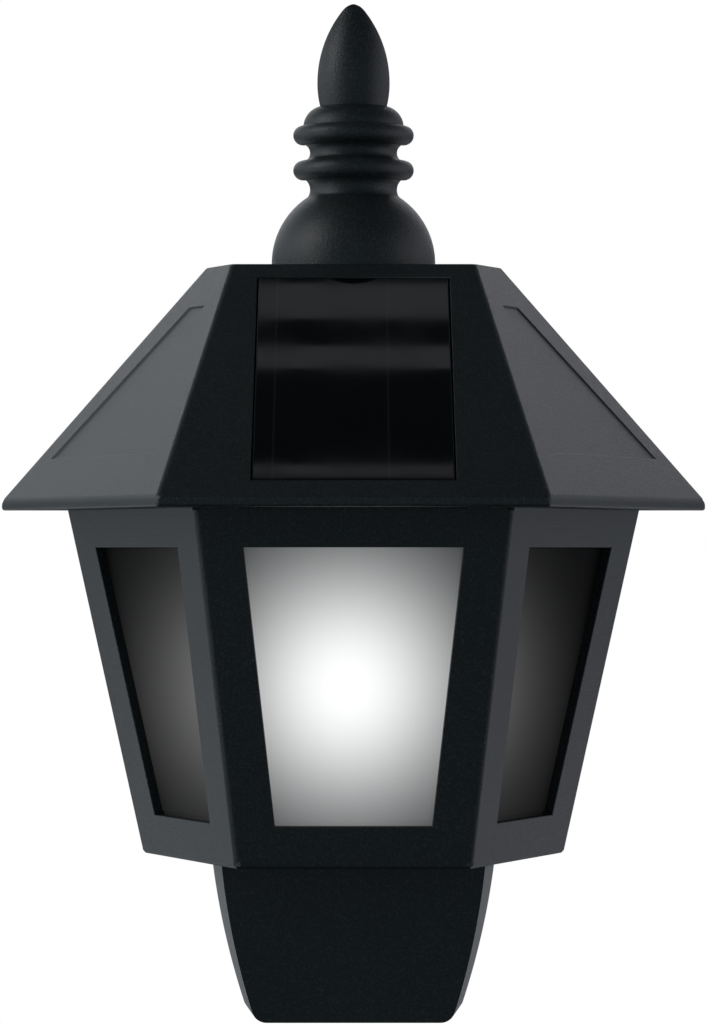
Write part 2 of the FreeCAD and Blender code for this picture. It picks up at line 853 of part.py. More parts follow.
def outline_plate(right_side, y_low, y_high):
    """Plate from the right-hand half of a symmetrical outline, given from the bottom up."""
    corners = right_side + [(-x, z) for x, z in reversed(right_side)]
    return polygon_face([Vector(x, y_low, z) for x, z in corners]).extrude(REAR * (y_high - y_low))


def round_corner(plate, radius, z):
    """Rounds the two outermost corners of a plate at a height."""
    if radius < 0.3:
        return plate
    return round_edges(plate, radius, lambda edge: level_at(edge, z) and edge.BoundBox.XLength < 0.01)


def cover_plate(shrink, y_low, y_high):
    """Back outline of roof, lantern body and tail as one plate, drawn in by a given distance."""
    slope = shrink * math.hypot(1, roof_form.half_run)
    rim_z = rim_height + (slope - shrink) / roof_form.half_run
    top = roof_height - shrink
    rim_half = rim_form.half_low - shrink
    rim = [(rim_half, shrink), (rim_half, rim_z)]
    if rim_z <= shrink:
        rim = [(roof_form.back_half(shrink) - slope, shrink)]
    roof = outline_plate(rim + [(roof_form.back_half(top) - slope, top)], y_low, y_high)
    roof = round_corner(roof, rim_round - shrink, shrink)
    lean = shrink * math.hypot(1, body_form.half_run)
    low, high = body_low + shrink, shrink + 0.5
    body = outline_plate([(body_form.back_half(low) - lean, low), (body_form.back_half(high) - lean, high)],
                         y_low, y_high)
    body = round_corner(body, body_low_round - shrink, low)
    tail = Part.Face(tail_outline(0, shrink)).extrude(REAR * (y_high - y_low))
    tail.translate(Vector(0, y_low - back, 0))
    neck_half = tail_top_half - shrink
    neck = block(-neck_half, neck_half, y_low, y_high, body_low - shrink, body_low + shrink + 0.5)
    return join([roof, body, tail, neck])


def cover_seal():
    inner = cover_plate(seal_margin + seal_width, back - 1, back + seal_deep + 1)
    return cover_plate(seal_margin, back, back + seal_deep).cut(inner).Solids[0]


def keyholes():
    cuts = []
    for sign in (-1, 1):
        x = sign * keyhole_spacing / 2
        entry = Vector(x, back - 1, keyhole_height)
        slot_end = entry + UP * keyhole_slot_rise
        cuts.append(Part.makeCylinder(keyhole_entry_radius, cover_thick + 2, entry, REAR))
        cuts.append(Part.makeCylinder(keyhole_slot_half, cover_thick + 2, slot_end, REAR))
        cuts.append(block(x - keyhole_slot_half, x + keyhole_slot_half, back - 1, 1,
                          keyhole_height, keyhole_height + keyhole_slot_rise))
    return cuts


def board_screw_places():
    across = board_width / 2 - board_hole_inset
    top, low = -board_top - board_hole_inset, -board_top - board_height + board_hole_inset
    return [Vector(-across, board_face, top), Vector(across, board_face, low)]


def battery_box():
    """Open-backed box for the cell, moulded on the inside of the cover."""
    half, rise = box_half + box_wall, box_rise + box_wall
    z = -battery_drop
    return block(-half, half, box_front - box_wall, back, z - rise, z + rise)


def door_room(gap, y_low, y_high):
    """The door's place in the cover: the battery opening and a ledge all round."""
    half, rise = box_half + door_ledge - gap, box_rise + door_ledge - gap
    return block(-half, half, y_low, y_high, -battery_drop - rise, -battery_drop + rise)


def cover_screw_places():
    spots = []
    for x, _, z in roof_bosses + [body_boss, tail_boss]:
        for sign in (-1, 1):
            spots.append(Vector(sign * x, -screw_head_height - head_sunk, z))
    return spots


door_axis_y = -door_sunk - door_thick / 2
door_axis_z = -battery_drop + box_rise + door_ledge - door_gap - door_thick / 2
door_half = box_half + door_ledge - door_gap


def back_cover(seal):
    plate = cover_plate(cover_step, back, 0)
    extras = [battery_box()]
    for spot in board_screw_places():
        foot = Vector(spot.x, back, spot.z)
        extras.append(Part.makeCylinder(standoff_radius, standoff_length, foot, -REAR))
    rib_half = switch_length / 2 + fit_gap
    for sign in (-1, 1):
        x = switch_across + sign * (rib_half + rib_thick / 2)
        extras.append(block(x - rib_thick / 2, x + rib_thick / 2, back - rib_height, back,
                            -switch_down - switch_width / 2, -switch_down + switch_width / 2))
    cover = join([plate] + extras)
    z = -battery_drop
    cuts = [seal] + keyholes()
    cuts.append(block(-box_half, box_half, box_front, 1, z - box_rise, z + box_rise))
    cuts.append(door_room(0, -door_well_deep, 1))
    hinge_reach = door_half + trunnion_length + fit_gap
    pivot = trunnion_radius + trunnion_gap
    axis = Vector(-hinge_reach, door_axis_y, door_axis_z)
    cuts.append(Part.makeCylinder(pivot, hinge_reach * 2, axis, RIGHT))
    cuts.append(block(-hinge_reach, hinge_reach, door_axis_y, 1, door_axis_z - pivot, door_axis_z + pivot))
    notch = Vector(0, -door_well_deep / 2, z - box_rise - door_ledge)
    cuts.append(Part.makeCylinder(nail_notch_radius, cover_thick, notch, REAR))
    for spot in cover_screw_places():
        cuts.append(clearance_hole(Vector(spot.x, back - 1, spot.z), REAR, screw_radius, cover_thick + 2))
        cuts.append(Part.makeCylinder(screw_head_radius + fit_gap, cover_thick, spot, REAR))
    for spot in board_screw_places():
        cuts.append(clearance_hole(spot, REAR, board_screw_radius, board_screw_length + board_screw_spare))
    well_half, well_rise = switch_well_length / 2, switch_well_width / 2
    cuts.append(block(switch_across - well_half, switch_across + well_half, -switch_well_deep, 1,
                      -switch_down - well_rise, -switch_down + well_rise))
    cuts.append(slider_slot(back - 1, 1))
    for sign in (-1, 1):
        cuts.append(contact_tab(sign, tab_gap))
    return cover.cut(join(cuts))


def slider_slot(y_low, y_high):
    half = (slider_length + slider_travel) / 2 + slider_gap * 2
    rise = slider_width / 2 + slider_gap
    return block(switch_across - half, switch_across + half, y_low, y_high,
                 -switch_down - rise, -switch_down + rise)


# ---- Switch ---------------------------------------------------------------------------------

def switch_body():
    half, rise = switch_length / 2, switch_width / 2
    can = block(switch_across - half, switch_across + half, back - switch_deep, back,
                -switch_down - rise, -switch_down + rise)
    half, rise = half - switch_wall, rise - switch_wall
    room = block(switch_across - half, switch_across + half, back - switch_deep + switch_wall,
                 back - switch_wall, -switch_down - rise, -switch_down + rise)
    pins = []
    for step in (-0.5, 0.5):
        foot = Vector(switch_across + step * switch_pin_spacing, back - switch_deep, -switch_down)
        pins.append(Part.makeCylinder(switch_pin_radius, switch_pin_length, foot, -REAR))
    return join([can.cut(room).cut(slider_slot(back - switch_wall - 1, back + 1))] + pins)


def switch_slider():
    """Knob post and its shoe, drawn at the end of its travel."""
    x = switch_across - slider_travel / 2
    half, rise = slider_length / 2, slider_width / 2
    post = block(x - half, x + half, back - switch_wall - slider_gap - slider_shoe_thick, -slider_recess,
                 -switch_down - rise, -switch_down + rise)
    grooves = []
    for step in (-1, 0, 1):
        centre = x + step * half * 0.6
        grooves.append(block(centre - slider_groove_half, centre + slider_groove_half,
                             -slider_recess - slider_groove_deep, 0,
                             -switch_down - rise - 1, -switch_down + rise + 1))
    half, rise = half + slider_shoe_extra, rise + slider_shoe_extra * 0.6
    top = back - switch_wall - slider_gap
    shoe = block(x - half, x + half, top - slider_shoe_thick, top, -switch_down - rise, -switch_down + rise)
    return join([post.cut(join(grooves)), shoe])


# ---- Battery, contacts and door --------------------------------------------------------------

def battery():
    half = battery_length / 2
    place = Vector(-half, battery_y, -battery_drop)
    can = Part.makeCylinder(battery_radius, battery_length - battery_nub, place, RIGHT)
    can = round_edges(can, battery_edge_round, lambda edge: len(edge.Vertexes) == 1)
    nub = Part.makeCylinder(battery_nub_radius, battery_length, place, RIGHT)
    return join([can, nub])


def contact_tab(sign, gap):
    """Solder tab that passes through the front of the battery box."""
    outside = sign * box_half
    inside = outside - sign * contact_thick
    xs = sorted((outside + sign * gap, inside - sign * gap))
    z = -battery_drop
    return block(xs[0], xs[1], box_front - box_wall - tab_length * (gap == 0) - gap, box_front + 1,
                 z - tab_half - gap, z + tab_half + gap)


def contact(sign, touch):
    """Contact plate at one end of the cell, with a touching nose on its inner face."""
    outside = sign * box_half
    inside = outside - sign * contact_thick
    xs = sorted((outside, inside))
    z = -battery_drop
    plate = block(xs[0], xs[1], box_front, battery_y + contact_half, z - contact_half, z + contact_half)
    reach = abs(inside) - (battery_length / 2 + contact_touch)
    nose = Part.makeCone(touch * 1.4, touch, reach, Vector(inside, battery_y, z), RIGHT * -sign)
    return join([plate, contact_tab(sign, 0), nose])


def battery_door():
    rise = box_rise + door_ledge - door_gap
    z = -battery_drop
    y_in, y_out = -door_sunk - door_thick, -door_sunk
    plate = block(-door_half, door_half, y_in, y_out, z - rise, door_axis_z)
    left_end = Vector(-door_half, door_axis_y, door_axis_z)
    barrel = Part.makeCylinder(door_thick / 2, door_half * 2, left_end, RIGHT)
    pin_length = (door_half + trunnion_length) * 2
    pin = Part.makeCylinder(trunnion_radius, pin_length, left_end - RIGHT * trunnion_length, RIGHT)
    leg_low = z - box_rise + latch_gap
    leg = block(-latch_half, latch_half, y_in - latch_reach, y_in, leg_low, leg_low + latch_thick)
    notch = block(-nail_notch_radius * 0.6, nail_notch_radius * 0.6, y_out - nail_notch_deep, y_out + 1,
                  z - rise - 1, z - rise + nail_notch_rise)
    return join([plate, barrel, pin, leg]).cut(notch)


def door_seal():
    y_in = -door_sunk - door_thick
    z = -battery_drop

    def ring(grow):
        half, rise = box_half + grow, box_rise + grow
        return block(-half, half, y_in - door_seal_thick, y_in, z - rise, z + rise)

    return ring(door_seal_margin + door_seal_width).cut(ring(door_seal_margin))


# ---- Light board, lamps and reflector ----------------------------------------------------------

def board():
    half = board_width / 2
    plate = block(-half, half, board_face, board_back, -board_top - board_height, -board_top)
    holes = [clearance_hole(spot, REAR, board_screw_radius, board_thick) for spot in board_screw_places()]
    return plate.cut(join(holes))


def lamps():
    shapes = []
    for column in (-0.5, 0.5):
        for row in (-0.5, 0.5):
            x, z = led_across + column * led_pitch, -led_down + row * led_pitch
            case = block(x - led_width / 2, x + led_width / 2, board_face - led_thick, board_face,
                         z - led_height / 2, z + led_height / 2)
            shapes.append(case)
    return shapes


def reflector():
    """Tapered white duct from the light board to the front pane."""
    high = -board_top - reflector_under_top
    low = -board_top - board_height + reflector_over_low

    def duct(grow, over):
        back_half, y = reflector_back_half + grow, board_face + over
        rear = [Vector(-back_half, y, low - grow), Vector(back_half, y, low - grow),
                Vector(back_half, y, high + grow), Vector(-back_half, y, high + grow)]
        front = front_outline(reflector_lap + grow)
        return Part.makeLoft([Part.makePolygon(rear + [rear[0]]), Part.makePolygon(front + [front[0]])],
                             True, True)

    reach = body_top_depth
    inward = body_form.front_inward()
    room = slab(front_outline(reach), inward, wall + pane_thick + fit_gap, reach * 2)
    duct_wall = duct(reflector_wall, 0).cut(duct(0, 0.01))
    return duct_wall.common(room)


def chip():
    z = -board_top - board_height + chip_up
    return block(part_across - chip_length / 2, part_across + chip_length / 2, board_back,
                 board_back + chip_thick, z - chip_width / 2, z + chip_width / 2)


def inductor():
    centre = Vector(part_across, board_back, -board_top - inductor_in)
    return Part.makeCylinder(inductor_radius, inductor_thick, centre, REAR)


# ---- Wires --------------------------------------------------------------------------------------

def solar_lead(sign, drop):
    """From a busbar through the pocket floor, down behind the panel to the board's upper edge."""
    x = sign * busbar_width * 0.9
    start = slope_point(x, panel_hole_up) + roof_inward * (pocket_depth - tape_thick + busbar_thick)
    knee = start + roof_inward * solar_lead_out
    pad = Vector(sign * solar_pad_half, board_face, -board_top - solar_pad_in)
    return [start, knee, knee + Vector(x * 0.6, solar_lead_back, -solar_lead_fall - drop),
            pad + Vector(0, -solar_pad_bend_out, solar_pad_bend_up - drop / 2),
            pad + Vector(0, -solar_pad_out, 0), pad]


def battery_lead(sign):
    """From a contact tab, round the front of the battery box and up to the board's lower edge."""
    x = sign * (box_half - contact_thick / 2)
    tab_tip = Vector(x, box_front - box_wall - tab_length, -battery_drop)
    bend = Vector(sign * battery_lead_bend_half, tab_tip.y - battery_lead_bend_out,
                  tab_tip.z + battery_lead_bend_up)
    hole = Vector(sign * hole_lead_half, back - wire_hole_depth, body_low)
    pad = Vector(battery_pad_across + sign * battery_pad_half, board_face,
                 -board_top - board_height + battery_pad_in)
    return [tab_tip, tab_tip + Vector(0, -battery_lead_out, 0), bend,
            hole + Vector(0, -1, -hole_lead_below), hole + Vector(0, 0, hole_lead_above),
            pad + Vector(0, -battery_pad_out, 0), pad]


def switch_lead(step):
    """From a switch pin across to the board's lower right corner."""
    start = Vector(switch_across + step * switch_pin_spacing, back - switch_deep - switch_pin_length,
                   -switch_down)
    pad = Vector(switch_pad_across + step * switch_pad_pitch, board_face,
                 -board_top - board_height + switch_pad_in + step * switch_pad_pitch)
    bend = Vector(switch_across - switch_lead_back + step * switch_pad_pitch,
                  start.y - switch_lead_bend_out, pad.z + switch_lead_bend_up)
    return [start, start + Vector(0, -switch_lead_out - step, 0), bend,
            pad + Vector(0, -switch_pad_out, 0), pad]


# ---- Build ---------------------------------------------------------------------------------------

save("roof_shell", [roof_shell()])
solar_panel()
save("finial", [finial()])
save("finial_screw", [screw(Vector(0, -finial_boss_depth, roof_height - wall), UP, screw_radius,
                            finial_screw_length, screw_head_radius, screw_head_height)])
save("lantern_body", [lantern_body()])
panes()
save("tail_shell", [tail_shell()])
seal_ring = cover_seal()
save("cover_seal", [seal_ring])
save("back_cover", [back_cover(seal_ring)])
save("cover_screws", [screw(spot, -REAR, screw_radius, cover_screw_length, screw_head_radius,
                            screw_head_height) for spot in cover_screw_places()])
save("flange_screws", [screw(Vector(spot.x, spot.y, flange_pad_rise), UP, screw_radius, flange_screw_length,
                             screw_head_radius, flange_screw_head_height) for spot in flange_screw_places()])
save("tail_screws", [screw(spot, -UP, screw_radius, tail_boss_length, screw_head_radius,
                           screw_head_height) for spot in tail_screw_places()])
save("board_screws", [screw(spot, REAR, board_screw_radius, board_screw_length, board_screw_head_radius,
                            board_screw_head_height) for spot in board_screw_places()])
save("switch_body", [switch_body()])
save("switch_slider", [switch_slider()])
save("battery_cell", [battery()])
save("battery_contact_positive", [contact(1, battery_nub_radius * 0.8)])
save("battery_contact_negative", [contact(-1, battery_radius * 0.6)])
save("battery_door", [battery_door()])
save("door_seal", [door_seal()])
save("led_board", [board()])
save("leds", lamps())
save("reflector", [reflector()])
save("driver_chip", [chip()])
save("inductor", [inductor()])
save("solar_lead_red", [lead("solar_lead_red", solar_lead(1, 0.0))])
save("solar_lead_black", [lead("solar_lead_black", solar_lead(-1, solar_lead_apart))])
save("battery_lead_red", [lead("battery_lead_red", battery_lead(1))])
save("battery_lead_black", [lead("battery_lead_black", battery_lead(-1))])
save("switch_leads", [lead(f"switch_lead {step}", switch_lead(step)) for step in (-0.5, 0.5)])
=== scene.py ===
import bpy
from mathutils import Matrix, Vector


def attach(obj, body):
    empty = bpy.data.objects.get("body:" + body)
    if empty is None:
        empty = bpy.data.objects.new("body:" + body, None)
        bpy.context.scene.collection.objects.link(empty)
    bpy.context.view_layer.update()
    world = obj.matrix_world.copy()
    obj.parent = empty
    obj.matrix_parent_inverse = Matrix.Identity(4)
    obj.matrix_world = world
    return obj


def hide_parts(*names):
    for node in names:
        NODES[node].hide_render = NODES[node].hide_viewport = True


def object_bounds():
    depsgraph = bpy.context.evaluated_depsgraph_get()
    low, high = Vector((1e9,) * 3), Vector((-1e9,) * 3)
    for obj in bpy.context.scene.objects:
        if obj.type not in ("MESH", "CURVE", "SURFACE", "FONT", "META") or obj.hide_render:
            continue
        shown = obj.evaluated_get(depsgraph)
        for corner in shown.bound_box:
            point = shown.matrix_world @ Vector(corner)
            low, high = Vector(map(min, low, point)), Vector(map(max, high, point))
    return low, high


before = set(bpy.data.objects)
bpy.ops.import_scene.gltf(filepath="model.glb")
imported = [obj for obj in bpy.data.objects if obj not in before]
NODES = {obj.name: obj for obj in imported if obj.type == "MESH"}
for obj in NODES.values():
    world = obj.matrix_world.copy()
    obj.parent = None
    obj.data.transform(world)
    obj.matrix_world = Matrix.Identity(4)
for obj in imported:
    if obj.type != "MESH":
        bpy.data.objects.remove(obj)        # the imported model: its bodies, nodes, joints and record
CAD_BOX = [list(corner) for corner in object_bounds()]

import itertools
import math

import bmesh
import bpy
from bpy.props import FloatProperty, FloatVectorProperty, PointerProperty
from mathutils import Vector

bl_info = {
    "name": "Fence light",
    "version": (1, 0, 0),
    "blender": (4, 5, 0),
    "location": "View3D > Sidebar > Fence light",
    "description": "Dresses the packed model of a solar fence light: modelled shells, panes and finishes",
    "category": "Object",
}

MM = 0.001               # metres in a millimetre
NEAR = 0.02 * MM         # two points closer than this are the same point
EXACT = 1e-7             # metres that a cut may leave a point off its plane
CREASE = math.radians(38)
SAME_WAY = 0.99          # cosine between two normals that count as one direction


# ---- Sizes and colours a user would change ---------------------------------------------------

def length(name, millimetres, description):
    return FloatProperty(name=name, description=description, default=millimetres * MM, unit='LENGTH',
                         precision=5)


def linear(code):
    """Linear colour, with alpha, of an sRGB hex code."""
    shares = [int(code[start:start + 2], 16) / 255 for start in (1, 3, 5)]
    return tuple(s / 12.92 if s <= 0.04045 else ((s + 0.055) / 1.055) ** 2.4 for s in shares) + (1.0,)


def times(colour, share):
    """Colour with its three parts multiplied by a share, and full alpha."""
    return tuple(share * part for part in colour[:3]) + (1.0,)


def tint(name, code, description):
    return FloatVectorProperty(name=name, description=description, default=linear(code), size=4,
                               subtype='COLOR', min=0, max=1)


class ShellSizes(bpy.types.PropertyGroup):
    """Sizes that all the shells share."""
    back: length("Cover thickness", 3.0, "Back edge of the shells, in front of the wall")
    wall: length("Wall", 2.4, "Thickness of the roof and of the lantern body")
    fit_gap: length("Fit gap", 0.3, "Clearance between a shell and what is set into it")
    splay: FloatProperty(name="Side splay", description="Sideways run of a side facet for its depth",
                         default=0.495)


class RoofSizes(bpy.types.PropertyGroup):
    """Sizes of the roof."""
    eave_half: length("Eave half width", 39.5, "Half of the front edge at the eave")
    eave_depth: length("Eave depth", 76.8, "From the back edge to the front of the eave")
    rim: length("Rim height", 2.0, "Upright band along the eave")
    height: length("Roof height", 53.5, "From the underside of the eave to the flat top")
    top_half: length("Top half width", 26.5, "Half of the front edge of the flat top")
    top_depth: length("Top depth", 11.9, "From the back edge to the front of the flat top")
    ridge_round: length("Ridge rounding", 0.8, "Rounding of the ridges and of the rim's upper edge")
    top_round: length("Top rounding", 0.22, "Rounding of the flat top's edges")
    rim_round: length("Rim rounding", 1.2, "Rounding of the lowest edge")
    recess_deep: length("Recess depth", 0.3, "Depth of the sunk panel in each side facet")
    recess_slope: length("Recess slope", 0.35, "Run of the sloping edge of the sunk panel")
    recess_low: length("Recess foot", 11.2, "Height of the sunk panel's lower edge")
    recess_high: length("Recess head", 44.2, "Height of the sunk panel's upper edge")
    recess_back_low: length("Recess margin, back, foot", 7.2, "From the back edge, at the foot")
    recess_back_high: length("Recess margin, back, head", 10.6, "From the back edge, at the head")
    recess_ridge_low: length("Recess margin, ridge, foot", 9.7, "From the ridge, at the foot")
    recess_ridge_high: length("Recess margin, ridge, head", 7.8, "From the ridge, at the head")


class PanelSizes(bpy.types.PropertyGroup):
    """Sizes of the solar panel and of its pocket."""
    half: length("Panel half width", 20.5, "Half of the panel's width")
    long: length("Panel length", 71.6, "Panel's length along the slope")
    up: length("Panel place", 5.8, "From the rim to the panel, along the slope")
    thick: length("Window thickness", 1.4, "Clear cover over the cells")
    pocket: length("Pocket depth", 3.2, "Depth of the pocket in the roof")
    edge: length("Window edge", 0.25, "Bevel along the cover's edge")


class BodySizes(bpy.types.PropertyGroup):
    """Sizes of the lantern body and its windows."""
    height: length("Body height", 75.5, "From the eave to the underside")
    top_half: length("Front half width, top", 32.6, "Half of the front facet at the eave")
    low_half: length("Front half width, foot", 24.56, "Half of the front facet at the underside")
    top_depth: length("Depth, top", 61.35, "From the back edge to the front, at the eave")
    low_depth: length("Depth, foot", 43.81, "From the back edge to the front, at the underside")
    edge_round: length("Edge rounding", 1.0, "Rounding of the two front corners")
    low_round: length("Lower rounding", 0.7, "Rounding of the lowest edge")
    flange: length("Flange thickness", 1.6, "Plate that closes the roof from below")
    window_top: length("Window head", 8.2, "From the eave to the windows")
    window_low: length("Window sill", 9.1, "From the windows to the underside")
    front_margin: length("Front margin", 9.1, "From a front corner to the front window")
    side_margin: length("Side margin", 11.0, "From the edges of a side facet to its window")
    window_edge: length("Window edge", 0.18, "Softness of the windows' outer edges")
    pane: length("Pane thickness", 1.6, "Thickness of a pane")
    pane_lap: length("Pane lap", 3.0, "How far a pane reaches behind the wall")
    pane_step: length("Pane step", 0.55, "Height of the step that centres a pane in its window")
    screw_recess: length("Screw recess", 3.1, "Radius of the recess round a flange screw")
    recess_depth: length("Screw recess depth", 1.4, "Depth of that recess")
    side_screw: length("Side screw", 60.49, "From the middle to a side screw of the flange")
    side_screw_out: length("Side screw place", 20.0, "From the wall to a side screw")
    front_screw: length("Front screw", 31.0, "From the middle to a front screw of the flange")
    front_screw_out: length("Front screw place", 70.28, "From the wall to a front screw")


class TailSizes(bpy.types.PropertyGroup):
    """Sizes of the tail."""
    height: length("Tail height", 34.8, "From the body to the lowest point")
    top_half: length("Half width, top", 31.3, "At the body")
    middle_half: length("Half width, middle", 28.1, "Where the side is drawn in most")
    middle_drop: length("Middle place", 18.5, "From the body to that point")
    low_half: length("Half width, foot", 24.3, "Above the rounded corners")
    corner: length("Corner", 2.6, "Height of the rounded corners")
    top_depth: length("Depth, top", 28.6, "At the body")
    low_depth: length("Depth, foot", 22.0, "At the lowest point")
    wall: length("Tail wall", 2.0, "Thickness of the tail")
    edge_round: length("Edge rounding", 1.2, "Rounding of the front edges")
    draft: FloatProperty(name="Draft", description="Narrowing of each side for its depth", default=0.11)


class FinialSizes(bpy.types.PropertyGroup):
    """Sizes of the half-turned finial; heights are above the roof's flat top."""
    axis: length("Axis", 3.6, "How far the turning axis lies behind the wall")
    height: length("Height", 58.6, "Whole height")
    bud: length("Bud radius", 8.0, "Widest part of the bud")
    bud_widest: length("Bud's widest place", 41.5, "Height of the widest part")
    bud_foot: length("Bud foot", 36.0, "Height of the bud's foot")
    bud_foot_radius: length("Bud foot radius", 7.4, "Radius at the bud's foot")
    tip: length("Tip radius", 2.3, "Radius where the tip is rounded off")
    tip_drop: length("Tip drop", 1.3, "Height of the rounded tip")
    collar: length("Collar radius", 11.1, "Radius of the collar over the rings")
    collar_bulge: length("Collar bulge", 10.1, "Radius halfway up the collar")
    ring: length("Ring radius", 13.35, "Radius of both rings")
    ring_half: length("Ring half height", 2.2, "Half of a ring's height")
    upper_ring: length("Upper ring", 29.5, "Height of the upper ring's middle")
    lower_ring: length("Lower ring", 21.75, "Height of the lower ring's middle")
    neck: length("Neck radius", 9.62, "Radius in the middle of each hollow neck")
    neck_end: length("Neck end radius", 10.5, "Radius where a neck meets a ring")
    neck_foot: length("Neck foot radius", 10.1, "Radius where the lower neck meets the dome")
    dome_top: length("Dome top", 15.9, "Height of the dome's top")
    dome_shoulder: length("Dome shoulder", 9.5, "Height of the dome's shoulder")
    shoulder: length("Shoulder radius", 16.0, "Radius at the shoulder")
    dome: length("Dome radius", 18.1, "Radius at the dome's foot")
    dome_foot: length("Dome foot", 1.5, "Height of the upright foot")


class Colours(bpy.types.PropertyGroup):
    """Colours of the finishes."""
    black: tint("Black plastic", "#161c1d", "Roof, body, tail and finial")
    black_light: tint("Black plastic, pale flow", "#1f2627", "Faint paler flow in the same plastic")
    cover: tint("Cover plastic", "#1a1b1c", "Back cover and battery door")
    glow: tint("Lamp light", "#ffffff", "Light of the lamps through the front pane")
    opal: tint("Opal pane", "#5d5f60", "The front pane's own colour")
    # the side panes' near-black is painted shade where the lamps' light does not reach
    smoke: tint("Smoked pane", "#040404", "The side panes' own colour")
    cell: tint("Solar cell", "#050506", "Silicon under the clear cover")
    wire_red: tint("Red wire", "#a3211c", "Positive leads")
    wire_black: tint("Black wire", "#141414", "Negative leads")
    board: tint("Circuit board", "#1d5a34", "Solder mask")
    wrap: tint("Battery wrap", "#2f7d4a", "Sleeve of the cell")
    floor: tint("Floor", "#f2f2f1", "Floor under the light")


class FenceLight(bpy.types.PropertyGroup):
    """Everything the sidebar panel shows."""
    shell: PointerProperty(type=ShellSizes)
    roof: PointerProperty(type=RoofSizes)
    panel: PointerProperty(type=PanelSizes)
    body: PointerProperty(type=BodySizes)
    tail: PointerProperty(type=TailSizes)
    finial: PointerProperty(type=FinialSizes)
    colours: PointerProperty(type=Colours)


# ---- Half-hexagon form of the roof and of the body ---------------------------------------------

class Facets:
    """A front facet and two side facets that lean alike, from a low outline to a high one."""

    def __init__(self, shell, low, low_half, low_depth, high, high_half, high_depth):
        self.back, self.splay = shell.back, shell.splay
        self.low = low
        self.low_depth = low_depth
        self.depth_run = (high_depth - low_depth) / (high - low)
        self.low_back_half = low_half + self.splay * low_depth
        self.half_run = (high_half + self.splay * high_depth - self.low_back_half) / (high - low)
        self.slant = math.hypot(1, self.splay)

    def depth(self, z, inset=0.0):
        return self.low_depth + self.depth_run * (z - self.low) - inset * math.hypot(1, self.depth_run)

    def back_half(self, z, inset=0.0):
        straight = self.low_back_half + self.half_run * (z - self.low)
        return straight - inset * math.hypot(self.slant, self.half_run)

    def front_half(self, z, inset=0.0):
        return self.back_half(z, inset) - self.splay * self.depth(z, inset)

    def corners(self, z, inset=0.0):
        """Right back, right front, left front and left back corner at a height."""
        rear, front = self.back_half(z, inset), self.front_half(z, inset)
        y = -self.back - self.depth(z, inset)
        return [Vector((rear, -self.back, z)), Vector((front, y, z)),
                Vector((-front, y, z)), Vector((-rear, -self.back, z))]

    def on_front(self, x, z):
        return Vector((x, -self.back - self.depth(z), z))

    def on_side(self, z, from_back, side=1):
        forward = from_back / self.slant
        return Vector((side * (self.back_half(z) - self.splay * forward), -self.back - forward, z))

    def side_length(self, z):
        return self.depth(z) * self.slant

    def front_normal(self):
        return Vector((0, -1, -self.depth_run)).normalized()

    def side_normal(self, side=1):
        return Vector((side, -self.splay, -self.half_run)).normalized()


def roof_form(given):
    roof = given.roof
    return Facets(given.shell, roof.rim, roof.eave_half, roof.eave_depth,
                  roof.height, roof.top_half, roof.top_depth)


def body_form(given):
    body = given.body
    return Facets(given.shell, -body.height, body.low_half, body.low_depth,
                  0.0, body.top_half, body.top_depth)


def front_window(given, lap):
    """Corners of the front window, drawn out by a lap: foot right, foot left, head left, head right."""
    form, body = body_form(given), given.body
    foot, head = -body.height + body.window_low, -body.window_top
    low_half = form.front_half(foot) - body.front_margin + lap
    high_half = form.front_half(head) - body.front_margin + lap
    return [form.on_front(low_half, foot - lap), form.on_front(-low_half, foot - lap),
            form.on_front(-high_half, head + lap), form.on_front(high_half, head + lap)]


def side_window(given, lap, side):
    form, body = body_form(given), given.body
    foot, head = -body.height + body.window_low - lap, -body.window_top + lap
    margin = body.side_margin - lap
    return [form.on_side(foot, margin, side), form.on_side(foot, form.side_length(foot) - margin, side),
            form.on_side(head, form.side_length(head) - margin, side), form.on_side(head, margin, side)]


def on_slope(given, x, up):
    """Point on the roof's front facet, a distance up the slope from the rim."""
    roof, form = given.roof, roof_form(given)
    slope = math.hypot(roof.eave_depth - roof.top_depth, roof.height - roof.rim)
    return form.on_front(x, roof.rim + (roof.height - roof.rim) * up / slope)


def panel_outline(given, margin):
    panel = given.panel
    half, low, high = panel.half + margin, panel.up - margin, panel.up + panel.long + margin
    return [on_slope(given, half, low), on_slope(given, -half, low),
            on_slope(given, -half, high), on_slope(given, half, high)]


# ---- Modelling steps ---------------------------------------------------------------------------

def start_piece(name, add_primitive, **settings):
    """Adds a primitive at the origin with nothing else selected, and opens it for editing."""
    bpy.ops.object.select_all(action='DESELECT')
    add_primitive(location=(0, 0, 0), **settings)
    piece = bpy.context.object
    piece.name = piece.data.name = name
    bpy.ops.object.mode_set(mode='EDIT')
    return piece


def pick(kind, test):
    """Selects the vertices, edges or faces of the open piece that pass a test."""
    bpy.ops.mesh.select_mode(type={"verts": 'VERT', "edges": 'EDGE', "faces": 'FACE'}[kind])
    bpy.ops.mesh.select_all(action='DESELECT')
    mesh = bpy.context.edit_object.data
    editing = bmesh.from_edit_mesh(mesh)
    editing.normal_update()
    chosen = [item for item in getattr(editing, kind) if test(item)]
    if not chosen:
        raise RuntimeError(f"{mesh.name}: nothing to select")
    for item in chosen:
        item.select_set(True)
    editing.select_flush_mode()
    bmesh.update_edit_mesh(mesh)


def open_mesh():
    return bmesh.from_edit_mesh(bpy.context.edit_object.data)


def selected_points():
    return [vertex.co.copy() for vertex in open_mesh().verts if vertex.select]


